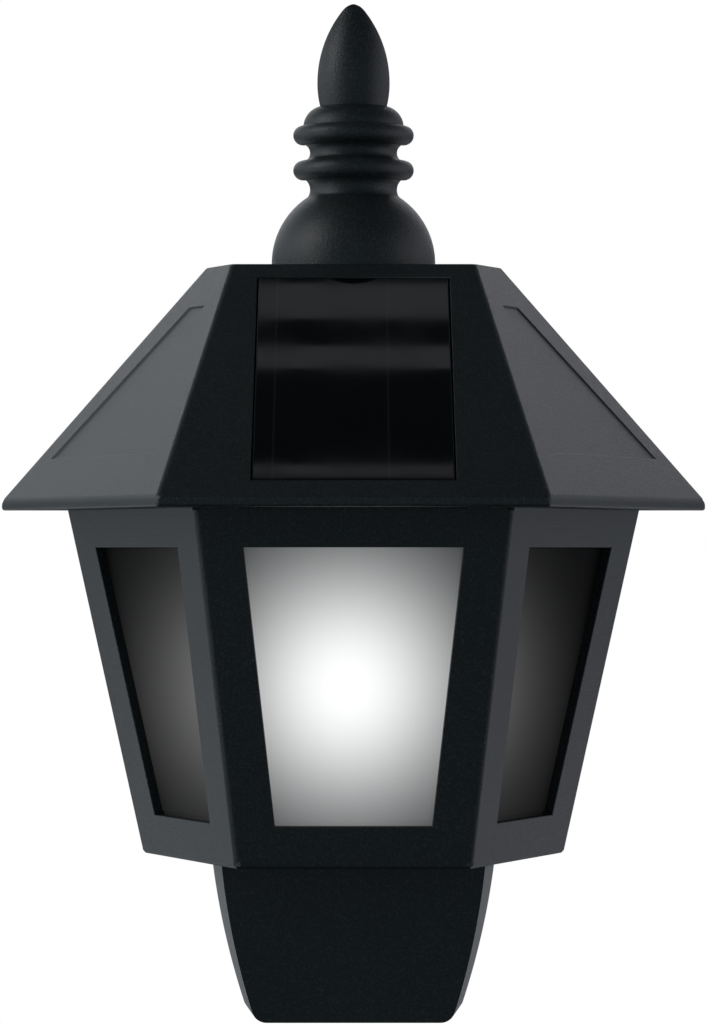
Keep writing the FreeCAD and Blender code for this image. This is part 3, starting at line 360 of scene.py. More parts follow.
def move_corners(targets):
    """Moves the selected face's corners, or else the selected points, to the targets; of the ways
    that keep the outline's order it takes the one with the shortest moves."""
    chosen = [face for face in open_mesh().faces if face.select]
    if len(chosen) == 1:
        points = [vertex.co.copy() for vertex in chosen[0].verts]
        ways = [list(order[turn:] + order[:turn]) for order in (targets, targets[::-1])
                for turn in range(len(targets))]
    else:
        points = selected_points()
        ways = list(itertools.permutations(targets))
    best = min(ways, key=lambda way: sum((spot - point).length for spot, point in zip(way, points)))
    for point, target in zip(points, best):
        pick("verts", lambda vertex: (vertex.co - point).length < NEAR)
        bpy.ops.transform.translate(value=target - point)


def facing(direction, share=0.8):
    """Test for faces that look in a direction."""
    towards = Vector(direction).normalized()
    return lambda face: face.normal.dot(towards) > share


def along(lines):
    """Test for edges that lie on one of the given straight lines."""
    def on_line(edge):
        return any(distance_to_line(edge.verts[0].co, *ends) < NEAR * 3
                   and distance_to_line(edge.verts[1].co, *ends) < NEAR * 3 for ends in lines)
    return on_line


def distance_to_line(point, start, end):
    run = end - start
    share = max(0.0, min(1.0, (point - start).dot(run) / run.length_squared))
    return (point - start - run * share).length


def loop_lines(points):
    return [(points[index], points[(index + 1) % len(points)]) for index in range(len(points))]


def extrude_by(value):
    bpy.ops.mesh.extrude_region_move(TRANSFORM_OT_translate={"value": value})


def sink_outline(test, outline, slope, deep):
    """Draws an outline on the facet that passes a test and sinks what lies inside it."""
    pick("faces", test)
    bpy.ops.mesh.inset(thickness=2 * MM, depth=0)
    move_corners(outline)
    pick("faces", lambda face: all(min((vertex.co - corner).length for corner in outline) < NEAR
                                   for vertex in face.verts))
    if deep:
        bpy.ops.mesh.inset(thickness=slope, depth=-deep)


def open_sides(*directions):
    """Deletes the faces that look squarely in one of the directions."""
    tests = [facing(direction, SAME_WAY) for direction in directions]
    pick("faces", lambda face: any(test(face) for test in tests))
    bpy.ops.mesh.delete(type='FACE')


def bevel_edges(test, offset, segments):
    pick("edges", test)
    bpy.ops.mesh.bevel(offset=offset, segments=segments, profile=0.5, affect='EDGES', clamp_overlap=True)


def tidy_mesh():
    bpy.ops.mesh.select_all(action='SELECT')
    bpy.ops.mesh.remove_doubles(threshold=NEAR / 4)
    bpy.ops.mesh.normals_make_consistent(inside=False)


def apply_modifier(piece, kind, **settings):
    modifier = piece.modifiers.new(kind.title(), kind)
    for name, value in settings.items():
        setattr(modifier, name, value)
    bpy.ops.object.modifier_apply(modifier=modifier.name)


def sink_round(piece, place, radius, deep):
    """Cuts a round recess into the underside of a piece."""
    bpy.ops.object.select_all(action='DESELECT')
    bpy.ops.mesh.primitive_cylinder_add(vertices=40, radius=radius, depth=2 * deep, location=place)
    cutter = bpy.context.object
    bpy.context.view_layer.objects.active = piece
    apply_modifier(piece, 'BOOLEAN', operation='DIFFERENCE', object=cutter, solver='EXACT')
    bpy.data.objects.remove(cutter)


def thicken(piece, wall):
    """Gives an open sheet its wall, towards the inside."""
    bpy.ops.object.mode_set(mode='OBJECT')
    apply_modifier(piece, 'SOLIDIFY', thickness=wall, offset=-1, use_even_offset=True,
                   use_quality_normals=True)
    bpy.ops.object.mode_set(mode='EDIT')


def close_piece(piece, body, slot, material, replaced):
    """Leaves edit mode, shades the piece, gives it its material, ties it to its body and hides the CAD
    nodes that it stands in for.
    """
    bpy.ops.object.mode_set(mode='OBJECT')
    bpy.ops.object.shade_smooth_by_angle(angle=CREASE)
    apply_modifier(piece, 'WEIGHTED_NORMAL', keep_sharp=True)
    piece.data.materials.clear()
    piece.data.materials.append(material)
    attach(piece, body)
    if replaced:
        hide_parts(*replaced)
    return piece


def arc_points(first, middle, last, count):
    """Points of the arc through three points of a plane, without the last one."""
    (ax, az), (bx, bz), (cx, cz) = first, middle, last
    twice = 2 * (ax * (bz - cz) + bx * (cz - az) + cx * (az - bz))
    squares = [x * x + z * z for x, z in (first, middle, last)]
    ox = (squares[0] * (bz - cz) + squares[1] * (cz - az) + squares[2] * (az - bz)) / twice
    oz = (squares[0] * (cx - bx) + squares[1] * (ax - cx) + squares[2] * (bx - ax)) / twice
    radius = math.hypot(ax - ox, az - oz)
    turns = [math.atan2(z - oz, x - ox) for x, z in (first, middle, last)]
    way = 1 if (turns[1] - turns[0]) % math.tau < (turns[2] - turns[0]) % math.tau else -1
    whole = (turns[2] - turns[0]) * way % math.tau * way
    steps = [turns[0] + whole * index / count for index in range(count)]
    return [(ox + radius * math.cos(turn), oz + radius * math.sin(turn)) for turn in steps]


def draw_outline(points):
    """Turns the open primitive into a chain of vertices, extruded one by one."""
    bpy.ops.mesh.delete(type='EDGE_FACE')
    first = next(iter(open_mesh().verts)).co.copy()
    pick("verts", lambda vertex: (vertex.co - first).length > NEAR)
    bpy.ops.mesh.delete(type='VERT')
    pick("verts", lambda vertex: True)
    bpy.ops.transform.translate(value=points[0] - first)
    for before, after in zip(points, points[1:]):
        extrude_by(after - before)


# ---- Finishes ----------------------------------------------------------------------------------

def add(tree, kind, inputs=None, **settings):
    """Adds a node with its settings; an input is a value or the socket that feeds it."""
    node = tree.nodes.new(kind)
    for name, value in settings.items():
        setattr(node, name, value)
    for name, value in (inputs or {}).items():
        if isinstance(value, bpy.types.NodeSocket):
            tree.links.new(value, node.inputs[name])
        else:
            node.inputs[name].default_value = value
    return node


def new_finish(name):
    """Empty material: its tree, its object coordinates and a function that closes it."""
    material = bpy.data.materials.new(name)
    material.use_nodes = True
    tree = material.node_tree
    tree.nodes.clear()
    place = add(tree, 'ShaderNodeTexCoord').outputs['Object']

    def close(**inputs):
        sockets = {name.replace('_', ' '): value for name, value in inputs.items()}
        shader = add(tree, 'ShaderNodeBsdfPrincipled', sockets)
        add(tree, 'ShaderNodeOutputMaterial', {'Surface': shader.outputs['BSDF']})
        return material

    return tree, place, close


def moulded_abs(name, colour, pale, grain, roughness):
    """ABS from a spark-eroded tool: black, with a fine even orange peel that breaks up its highlights,
    faint flow clouds, and a few pale specks of dust. The grain is drawn several times coarser than
    the real one, of about 0.1 mm, so that it shows."""
    tree, place, close = new_finish(name)
    flow_size, dust_spacing = 22 * MM, 9 * MM
    peel = add(tree, 'ShaderNodeTexNoise', {'Vector': place, 'Scale': 1 / grain, 'Detail': 2.0,
                                            'Roughness': 0.6})
    flow = add(tree, 'ShaderNodeTexNoise', {'Vector': place, 'Scale': 1 / flow_size, 'Detail': 3.0})
    cloud = add(tree, 'ShaderNodeMix', {0: flow.outputs['Fac'], 6: colour, 7: pale}, data_type='RGBA')
    grit = add(tree, 'ShaderNodeMapRange', {'Value': peel.outputs['Fac'], 'From Min': 0.5,
                                            'From Max': 0.75, 'To Min': 0.0, 'To Max': 0.3})
    gritty = add(tree, 'ShaderNodeMix', {0: grit.outputs['Result'], 6: cloud.outputs[2],
                                         7: linear("#5f6566")}, data_type='RGBA')
    # dust: specks up to half a millimetre across, where a cell's point happens to lie in the surface
    dust = add(tree, 'ShaderNodeTexVoronoi', {'Vector': place, 'Scale': 1 / dust_spacing})
    speck = add(tree, 'ShaderNodeMapRange', {'Value': dust.outputs['Distance'], 'From Min': 0.014,
                                             'From Max': 0.028, 'To Min': 0.3, 'To Max': 0.0})
    dusty = add(tree, 'ShaderNodeMix', {0: speck.outputs['Result'], 6: gritty.outputs[2],
                                        7: linear("#8d9292")}, data_type='RGBA')
    rough = add(tree, 'ShaderNodeMapRange', {'Value': peel.outputs['Fac'], 'From Min': 0.3,
                                             'From Max': 0.7, 'To Min': roughness - 0.05,
                                             'To Max': roughness + 0.05})
    bump = add(tree, 'ShaderNodeBump', {'Height': peel.outputs['Fac'], 'Strength': 0.8,
                                        'Distance': 0.11 * MM})
    return close(Base_Color=dusty.outputs[2], Roughness=rough.outputs['Result'],
                 Normal=bump.outputs['Normal'], IOR=1.53)


def brushed_metal(name, colour, roughness, grain):
    """Plated or rolled metal with fine irregular tool marks."""
    tree, place, close = new_finish(name)
    marks = add(tree, 'ShaderNodeTexNoise', {'Vector': place, 'Scale': 1 / grain, 'Detail': 4.0})
    rough = add(tree, 'ShaderNodeMapRange', {'Value': marks.outputs['Fac'], 'From Min': 0.3,
                                             'From Max': 0.7, 'To Min': roughness - 0.08,
                                             'To Max': roughness + 0.12})
    shade = add(tree, 'ShaderNodeMix', {0: marks.outputs['Fac'], 6: colour, 7: times(colour, 0.7)},
                data_type='RGBA')
    bump = add(tree, 'ShaderNodeBump', {'Height': marks.outputs['Fac'], 'Strength': 0.2,
                                        'Distance': 0.02 * MM})
    return close(Base_Color=shade.outputs[2], Metallic=1.0, Roughness=rough.outputs['Result'],
                 Normal=bump.outputs['Normal'])


def soft_plastic(name, colour, roughness, grain, deep):
    """Plain soft or moulded material: its colour, a faint mottle and a fine skin."""
    tree, place, close = new_finish(name)
    mottle = add(tree, 'ShaderNodeTexNoise', {'Vector': place, 'Scale': 1 / grain, 'Detail': 3.0})
    shade = add(tree, 'ShaderNodeMix', {0: mottle.outputs['Fac'], 6: colour, 7: times(colour, 0.8)},
                data_type='RGBA')
    bump = add(tree, 'ShaderNodeBump', {'Height': mottle.outputs['Fac'], 'Strength': 0.3,
                                        'Distance': deep})
    return close(Base_Color=shade.outputs[2], Roughness=roughness, Normal=bump.outputs['Normal'])


def lamp_glow(tree, place, colour, centre, reach, peak):
    """Lamp light on a pane: a bell curve round a centre, with its reach along X and Z."""
    moved = add(tree, 'ShaderNodeMapping', {
        'Vector': place, 'Location': (-centre[0] / reach[0], 0, -centre[1] / reach[1]),
        'Scale': (1 / reach[0], 0, 1 / reach[1])}).outputs['Vector']
    square = add(tree, 'ShaderNodeVectorMath', {0: moved, 1: moved}, operation='DOT_PRODUCT')
    fall = add(tree, 'ShaderNodeMath', {0: square.outputs['Value'], 1: -1.0}, operation='MULTIPLY')
    bell = add(tree, 'ShaderNodeMath', {0: fall.outputs['Value']}, operation='EXPONENT')
    light = add(tree, 'ShaderNodeMix', {0: bell.outputs['Value'], 6: linear("#000000"),
                                        7: times(colour, peak)}, data_type='RGBA')
    return light.outputs[2]


def lit_opal(name, given, centre, reach, peak):
    """Opal polystyrene, injection moulded, with the lamps on behind it: white over the lamps and
    grey towards the corners, with a faint waviness."""
    tree, place, close = new_finish(name)
    wave_size = 6 * MM
    wave = add(tree, 'ShaderNodeTexNoise', {'Vector': place, 'Scale': 1 / wave_size, 'Detail': 2.0})
    shade = add(tree, 'ShaderNodeMix', {0: wave.outputs['Fac'], 6: tuple(given.colours.opal),
                                        7: linear("#646667")}, data_type='RGBA')
    light = lamp_glow(tree, place, given.colours.glow, centre, reach, peak)
    return close(Base_Color=shade.outputs[2], Roughness=0.35, Emission_Color=light,
                 Emission_Strength=1.0, IOR=1.58)


def smoked_pane(name, given, centre, reach, peak):
    """Side pane: a near-black colour that is painted shade where the lamps' light does not reach, and a
    little painted lamp light through its front half.
    """
    tree, place, close = new_finish(name)
    mottle_size = 3 * MM
    light = lamp_glow(tree, place, given.colours.glow, centre, reach, peak)
    grain = add(tree, 'ShaderNodeTexNoise', {'Vector': place, 'Scale': 1 / mottle_size, 'Detail': 2.0})
    # near-black base: painted shade, with a faint random mottle
    shade = add(tree, 'ShaderNodeMix', {0: grain.outputs['Fac'], 6: tuple(given.colours.smoke),
                                        7: linear("#070707")}, data_type='RGBA')
    return close(Base_Color=shade.outputs[2], Roughness=0.6, Specular_IOR_Level=0.03,
                 Emission_Color=light, Emission_Strength=1.0, IOR=1.58)


def cell_window(name, given):
    """Clear cover of the solar panel over dark silicon: black and glossy, with the hair-fine gaps
    between the cell strips just showing."""
    tree, place, close = new_finish(name)
    parts = add(tree, 'ShaderNodeSeparateXYZ', {'Vector': place})
    half_pitch, gap, first_gap, smear_size = 11.8 * MM, 0.3 * MM, 16.4 * MM, 14 * MM
    # one gap lies left of the middle, by first_gap, and the others whole pitches from it; two more
    # pitches are added so that the sum is positive all over the panel
    moved = add(tree, 'ShaderNodeMath', {0: parts.outputs['X'], 1: first_gap + half_pitch * 4},
                operation='ADD')
    turn = add(tree, 'ShaderNodeMath', {0: moved.outputs['Value'], 1: half_pitch},
               operation='PINGPONG')
    line = add(tree, 'ShaderNodeMapRange', {'Value': turn.outputs['Value'], 'From Min': gap * 0.5,
                                            'From Max': gap * 1.1, 'To Min': 1.0, 'To Max': 0.0})
    shade = add(tree, 'ShaderNodeMix', {0: line.outputs['Result'], 6: tuple(given.colours.cell),
                                        7: linear("#1d191a")}, data_type='RGBA')
    smear = add(tree, 'ShaderNodeTexNoise', {'Vector': place, 'Scale': 1 / smear_size, 'Detail': 3.0})
    rough = add(tree, 'ShaderNodeMapRange', {'Value': smear.outputs['Fac'], 'From Min': 0.35,
                                             'From Max': 0.75, 'To Min': 0.02, 'To Max': 0.05})
    return close(Base_Color=shade.outputs[2], Roughness=rough.outputs['Result'], IOR=1.49)


def make_finishes(given):
    """All finishes of the light, by the names of what they cover."""
    colours = given.colours
    black, pale, cover = tuple(colours.black), tuple(colours.black_light), tuple(colours.cover)
    # the lamps' middle and how far their light reaches up and down a pane
    lamp_height, rise = -37 * MM, 22.5 * MM
    return {
        "shell": moulded_abs("black_abs_fine_spark_grain", black, pale, 0.45 * MM, 0.44),
        "cover": moulded_abs("black_abs_coarse_spark_grain", cover, pale, 1.0 * MM, 0.52),
        "opal": lit_opal("opal_polystyrene_lit", given, (-1.3 * MM, lamp_height), (21 * MM, rise),
                         peak=1.02),
        # side panes: near-black painted shade, with a little painted lamp light
        "smoke_left": smoked_pane("smoked_polystyrene_left", given, (-25 * MM, lamp_height),
                                  (16.6 * MM, rise), peak=0.15),
        "smoke_right": smoked_pane("smoked_polystyrene_right", given, (22 * MM, lamp_height),
                                   (15.4 * MM, rise), peak=0.12),
        "window": cell_window("clear_epoxy_over_silicon", given),
        "cell": soft_plastic("silicon_cells", tuple(colours.cell), 0.25, 1.5 * MM, 0.005 * MM),
        "zinc": brushed_metal("zinc_plated_steel", linear("#b9bcc0"), 0.34, 0.4 * MM),
        "tin": brushed_metal("tinned_copper", linear("#c9c7bf"), 0.3, 0.5 * MM),
        "nickel": brushed_metal("nickel_plated_spring_steel", linear("#c4bfb4"), 0.26, 0.6 * MM),
        "foam": soft_plastic("closed_cell_foam", linear("#232323"), 0.95, 0.6 * MM, 0.15 * MM),
        "board": soft_plastic("green_solder_mask", tuple(colours.board), 0.35, 2.0 * MM, 0.02 * MM),
        "white": soft_plastic("white_polystyrene", linear("#e9e9e4"), 0.4, 3.0 * MM, 0.02 * MM),
        "lamp": soft_plastic("lamp_phosphor", linear("#e6c548"), 0.5, 0.7 * MM, 0.02 * MM),
        "chip": soft_plastic("chip_epoxy", linear("#17181a"), 0.6, 0.3 * MM, 0.01 * MM),
        "ferrite": soft_plastic("ferrite_core", linear("#2b2c2e"), 0.7, 0.5 * MM, 0.03 * MM),
        "wrap": soft_plastic("shrunk_pvc_sleeve", tuple(colours.wrap), 0.3, 4.0 * MM, 0.01 * MM),
        "red": soft_plastic("red_pvc_insulation", tuple(colours.wire_red), 0.42, 0.8 * MM, 0.01 * MM),
        "black": soft_plastic("black_pvc_insulation", tuple(colours.wire_black), 0.42, 0.8 * MM,
                              0.01 * MM),
        "knob": moulded_abs("black_abs_knob", linear("#101112"), linear("#161718"), 0.4 * MM, 0.4),
    }


NODE_FINISHES = {
    "back_cover": "cover", "battery_door": "cover", "cover_seal": "foam", "door_seal": "foam",
    "panel_tape": "foam", "cover_screws": "zinc", "flange_screws": "zinc", "tail_screws": "zinc",
    "board_screws": "zinc", "finial_screw": "zinc", "solar_cells": "cell", "solar_back_plate": "board",
    "solar_busbars": "tin", "led_board": "board", "leds": "lamp", "reflector": "white",
    "driver_chip": "chip", "inductor": "ferrite", "switch_body": "nickel", "switch_slider": "knob",
    "switch_leads": "black", "solar_lead_red": "red", "solar_lead_black": "black",
    "battery_lead_red": "red", "battery_lead_black": "black", "battery_cell": "wrap",
    "battery_contact_positive": "nickel", "battery_contact_negative": "nickel",
}


# ---- Pieces --------------------------------------------------------------------------------------

class PieceOperator:
    """What all the operators share."""
    bl_options = {'REGISTER', 'UNDO'}
    finishes = {}


class FENCELIGHT_OT_finishes(PieceOperator, bpy.types.Operator):
    """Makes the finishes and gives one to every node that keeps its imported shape"""
    bl_idname = "fence_light.finishes"
    bl_label = "Finishes"

    def execute(self, context):
        PieceOperator.finishes.update(make_finishes(context.scene.fence_light))
        for node, finish in NODE_FINISHES.items():
            material = self.finishes[finish]
            if not NODES[node].material_slots:
                NODES[node].data.materials.append(material)
            for slot in NODES[node].material_slots:
                slot.material = material
        return {'FINISHED'}


class FENCELIGHT_OT_roof(PieceOperator, bpy.types.Operator):
    """Roof: one moulded shell with a rounded rim, sunk side panels and the solar panel's pocket"""
    bl_idname = "fence_light.roof"
    bl_label = "Roof"

    def execute(self, context):
        given = context.scene.fence_light
        roof, shell, form = given.roof, given.shell, roof_form(given)
        pocket_draft, pocket_edge = 0.05 * MM, 0.2 * MM
        eave = [Vector((corner.x, corner.y, 0)) for corner in form.corners(roof.rim)]
        rim, top = form.corners(roof.rim), form.corners(roof.height)
        piece = start_piece("roof", bpy.ops.mesh.primitive_cube_add, size=2 * roof.eave_half)
        pick("faces", facing((0, 0, -1)))
        move_corners(eave)
        pick("faces", facing((0, 0, 1)))
        move_corners(rim)
        pick("faces", lambda face: all(abs(vertex.co.z - roof.rim) < NEAR for vertex in face.verts))
        extrude_by((0, 0, roof.height - roof.rim))
        move_corners(top)
        for side in (-1, 1):
            foot, head = roof.recess_low, roof.recess_high
            outline = [form.on_side(foot, roof.recess_back_low, side),
                       form.on_side(foot, form.side_length(foot) - roof.recess_ridge_low, side),
                       form.on_side(head, form.side_length(head) - roof.recess_ridge_high, side),
                       form.on_side(head, roof.recess_back_high, side)]
            sink_outline(facing(form.side_normal(side), SAME_WAY), outline, roof.recess_slope,
                         roof.recess_deep)
        sink_outline(facing(form.front_normal(), SAME_WAY), panel_outline(given, shell.fit_gap),
                     pocket_draft, given.panel.pocket)
        open_sides((0, 0, -1), (0, 1, 0))
        thicken(piece, shell.wall)
        ridges = [(rim[1], top[1]), (rim[2], top[2]), (eave[1], rim[1]), (eave[2], rim[2])]
        ridges += [(rim[index], rim[index + 1]) for index in range(3)]
        bevel_edges(along(ridges), roof.ridge_round, 4)
        bevel_edges(lambda edge: all(abs(vertex.co.z - roof.height) < NEAR for vertex in edge.verts)
                    and min(face.normal.z for face in edge.link_faces) < 0.9, roof.top_round, 2)
        bevel_edges(along([(eave[index], eave[index + 1]) for index in range(3)]), roof.rim_round, 5)
        bevel_edges(along(loop_lines(panel_outline(given, shell.fit_gap))), pocket_edge, 2)
        close_piece(piece, "root", "black_abs", self.finishes["shell"], ["roof_shell"])
        return {'FINISHED'}


class FENCELIGHT_OT_panel(PieceOperator, bpy.types.Operator):
    """Solar panel's clear cover, with its edge eased"""
    bl_idname = "fence_light.panel"
    bl_label = "Solar panel"

    def execute(self, context):
        given = context.scene.fence_light
        panel, normal = given.panel, roof_form(given).front_normal()
        outline = panel_outline(given, 0)
        piece = start_piece("solar_window", bpy.ops.mesh.primitive_plane_add, size=panel.long)
        bpy.ops.mesh.select_all(action='SELECT')
        move_corners(outline)
        pick("faces", lambda face: True)
        extrude_by(-normal * panel.thick)
        tidy_mesh()
        bevel_edges(along(loop_lines(outline)), panel.edge, 3)
        close_piece(piece, "root", "solar_window", self.finishes["window"], ["solar_glass"])
        return {'FINISHED'}


class FENCELIGHT_OT_finial(PieceOperator, bpy.types.Operator):
    """Finial: half turning with a bud, a collar, two rings and a dome"""
    bl_idname = "fence_light.finial"
    bl_label = "Finial"

    def profile(self, finial):
        """Half widths at the wall and heights, from the tip down to the foot."""
        bud_tip = finial.height - finial.tip_drop
        collar_top = finial.upper_ring + finial.ring_half
        lower_top = finial.lower_ring + finial.ring_half
        # a point on the way along each arc
        tip_side = finial.tip * 0.62, finial.height - finial.tip_drop * 0.4
        bud_side = finial.bud * 0.79, finial.bud_widest + 8.8 * MM
        bud_low = finial.bud - 0.15 * MM, finial.bud_widest - 3 * MM
        collar_side = finial.collar_bulge, (finial.bud_foot + collar_top) / 2 + 0.4 * MM
        points = arc_points((0, finial.height), tip_side, (finial.tip, bud_tip), 5)
        points += arc_points((finial.tip, bud_tip), bud_side, (finial.bud, finial.bud_widest), 18)
        points += arc_points((finial.bud, finial.bud_widest), bud_low,
                             (finial.bud_foot_radius, finial.bud_foot), 6)
        points += arc_points((finial.bud_foot_radius, finial.bud_foot), collar_side,
                             (finial.collar, collar_top), 10)
        points += self.ring(finial, finial.upper_ring)
        points += self.hollow(finial, finial.upper_ring - finial.ring_half, lower_top, finial.neck_end)
        points += self.ring(finial, finial.lower_ring)
        points += self.hollow(finial, finial.lower_ring - finial.ring_half, finial.dome_top,
                              finial.neck_foot)
        points += arc_points((finial.neck_foot, finial.dome_top), (finial.shoulder, finial.dome_shoulder),
                             (finial.dome, finial.dome_foot), 18)
        return points + [(finial.dome, finial.dome_foot), (finial.dome, 0)]

    def ring(self, finial, height):
        top, foot = height + finial.ring_half, height - finial.ring_half
        points = arc_points((finial.collar, top), (finial.ring, height), (finial.collar, foot), 12)
        return points + [(finial.collar, foot)]

    def hollow(self, finial, top, foot, foot_radius):
        """Hollow neck between a ring and what stands under it."""
        return arc_points((finial.neck_end, top), (finial.neck, (top + foot) / 2), (foot_radius, foot), 8)

    def execute(self, context):
        given = context.scene.fence_light
        finial, base = given.finial, given.roof.height
        outline = [Vector((math.hypot(half, finial.axis), finial.axis, base + height))
                   for half, height in self.profile(finial)]
        ends = [Vector((0, finial.axis, outline[0].z))], [Vector((0, finial.axis, outline[-1].z))]
        piece = start_piece("finial_turning", bpy.ops.mesh.primitive_plane_add, size=finial.collar)
        draw_outline(ends[0] + outline + ends[1])
        bpy.ops.mesh.select_all(action='SELECT')
        bpy.ops.mesh.spin(steps=144, angle=math.tau, center=(0, finial.axis, 0), axis=(0, 0, 1))
        tidy_mesh()
        bpy.ops.mesh.select_all(action='SELECT')
        bpy.ops.mesh.bisect(plane_co=(0, 0, 0), plane_no=(0, 1, 0), use_fill=True, clear_outer=True,
                            threshold=EXACT)
        tidy_mesh()
        close_piece(piece, "root", "black_abs", self.finishes["shell"], ["finial"])
        return {'FINISHED'}


class FENCELIGHT_OT_body(PieceOperator, bpy.types.Operator):
    """Lantern body: three windowed facets, a closed foot and the flange that fills the roof"""
    bl_idname = "fence_light.body"
    bl_label = "Lantern body"

    def down_the_facet(self, normal, drop):
        """Move along a facet that lowers a point by the drop."""
        down = Vector((0, 0, -1)) + normal * normal.z
        return down * (drop / -down.z)

    def execute(self, context):
        given = context.scene.fence_light
        body, shell, form, roof = given.body, given.shell, body_form(given), roof_form(given)
        head, foot = form.corners(0), form.corners(-body.height)
        piece = start_piece("lantern", bpy.ops.mesh.primitive_cube_add, size=2 * body.low_half)
        pick("faces", facing((0, 0, -1)))
        move_corners(foot)
        pick("faces", facing((0, 0, 1)))
        move_corners(head)
        near_corner, near_rim = 0.5 * MM, 3 * MM
        windows = [(form.front_normal(), front_window(given, 0))]
        windows += [(form.side_normal(side), side_window(given, 0, side)) for side in (-1, 1)]
        for normal, outline in windows:
            sink_outline(facing(normal, SAME_WAY), outline, 0, 0)
            bpy.ops.mesh.delete(type='FACE')
        open_sides((0, 0, 1), (0, 1, 0))
        margin = shell.wall + shell.fit_gap
        rim = Facets(shell, 0, given.roof.eave_half, given.roof.eave_depth,
                     given.roof.rim, given.roof.eave_half, given.roof.eave_depth)
        pick("edges", along([(head[index], head[index + 1]) for index in range(3)]))
        extrude_by((0, 0, body.flange))
        move_corners(rim.corners(0, margin))
        pick("faces", lambda face: all(abs(vertex.co.z) < NEAR for vertex in face.verts))
        if facing((0, 0, 1))(next(face for face in open_mesh().faces if face.select)):
            bpy.ops.mesh.flip_normals()
        thicken(piece, shell.wall)
        # the sills lie level: their inner corners come down to the outer ones
        for normal, outline in windows:
            for corner in outline[:2]:
                inside = corner - normal * shell.wall
                pick("verts", lambda vertex: (vertex.co - inside).length < near_corner)
                bpy.ops.transform.translate(value=self.down_the_facet(normal, inside.z - corner.z))
        pick("verts", lambda vertex: vertex.co.z > shell.wall - NEAR and
             vertex.co.y < -shell.back + NEAR and
             min((vertex.co - corner).length for corner in rim.corners(shell.wall, margin)) < near_rim)
        move_corners(roof.corners(body.flange, margin))
        bevel_edges(along([(foot[index], foot[index + 1]) for index in range(3)]), body.low_round, 5)
        corners = [(head[1], foot[1]), (head[2], foot[2])]
        bevel_edges(lambda edge: along(corners)(edge) and edge.calc_length() > body.height / 2,
                    body.edge_round, 5)
        for _, outline in windows:
            bevel_edges(along(loop_lines(outline)), body.window_edge, 2)
        bpy.ops.object.mode_set(mode='OBJECT')
        for side in (-1, 1):
            for half, out in ((body.side_screw, body.side_screw_out),
                              (body.front_screw, body.front_screw_out)):
                sink_round(piece, (side * half, -out, 0), body.screw_recess, body.recess_depth)
        close_piece(piece, "root", "black_abs", self.finishes["shell"], ["lantern_body"])
        return {'FINISHED'}


class FENCELIGHT_OT_panes(PieceOperator, bpy.types.Operator):
    """Three panes, each with a raised step that centres it in its window"""
    bl_idname = "fence_light.panes"
    bl_label = "Panes"

    def execute(self, context):
        given = context.scene.fence_light
        form = body_form(given)
        self.pane(given, "window_front", form.front_normal(), lambda lap: front_window(given, lap),
                  "opal", "opal_pane", "front_pane")
        # side panes: near-black painted shade, with a little painted lamp light
        for side, name in ((-1, "left"), (1, "right")):
            self.pane(given, f"window_{name}", form.side_normal(side),
                      lambda lap: side_window(given, lap, side), f"smoke_{name}", "smoked_pane",
                      f"{name}_pane")
        return {'FINISHED'}

    def pane(self, given, name, normal, outline, finish, slot, node):
        body, shell = given.body, given.shell
        outside = [point - normal * shell.wall for point in outline(body.pane_lap)]
        step = [point - normal * shell.wall for point in outline(-shell.fit_gap)]
        piece = start_piece(name, bpy.ops.mesh.primitive_plane_add, size=body.low_half)
        bpy.ops.mesh.select_all(action='SELECT')
        move_corners(outside)
        pick("faces", lambda face: True)
        extrude_by(-normal * body.pane)
        tidy_mesh()
        sink_outline(facing(normal, SAME_WAY), step, 0, 0)
        extrude_by(normal * body.pane_step)
        raised = [point + normal * body.pane_step for point in step]
        step_edge = body.pane_step * 0.6
        bevel_edges(along(loop_lines(raised)), step_edge, 3)
        close_piece(piece, "root", slot, self.finishes[finish], [node])


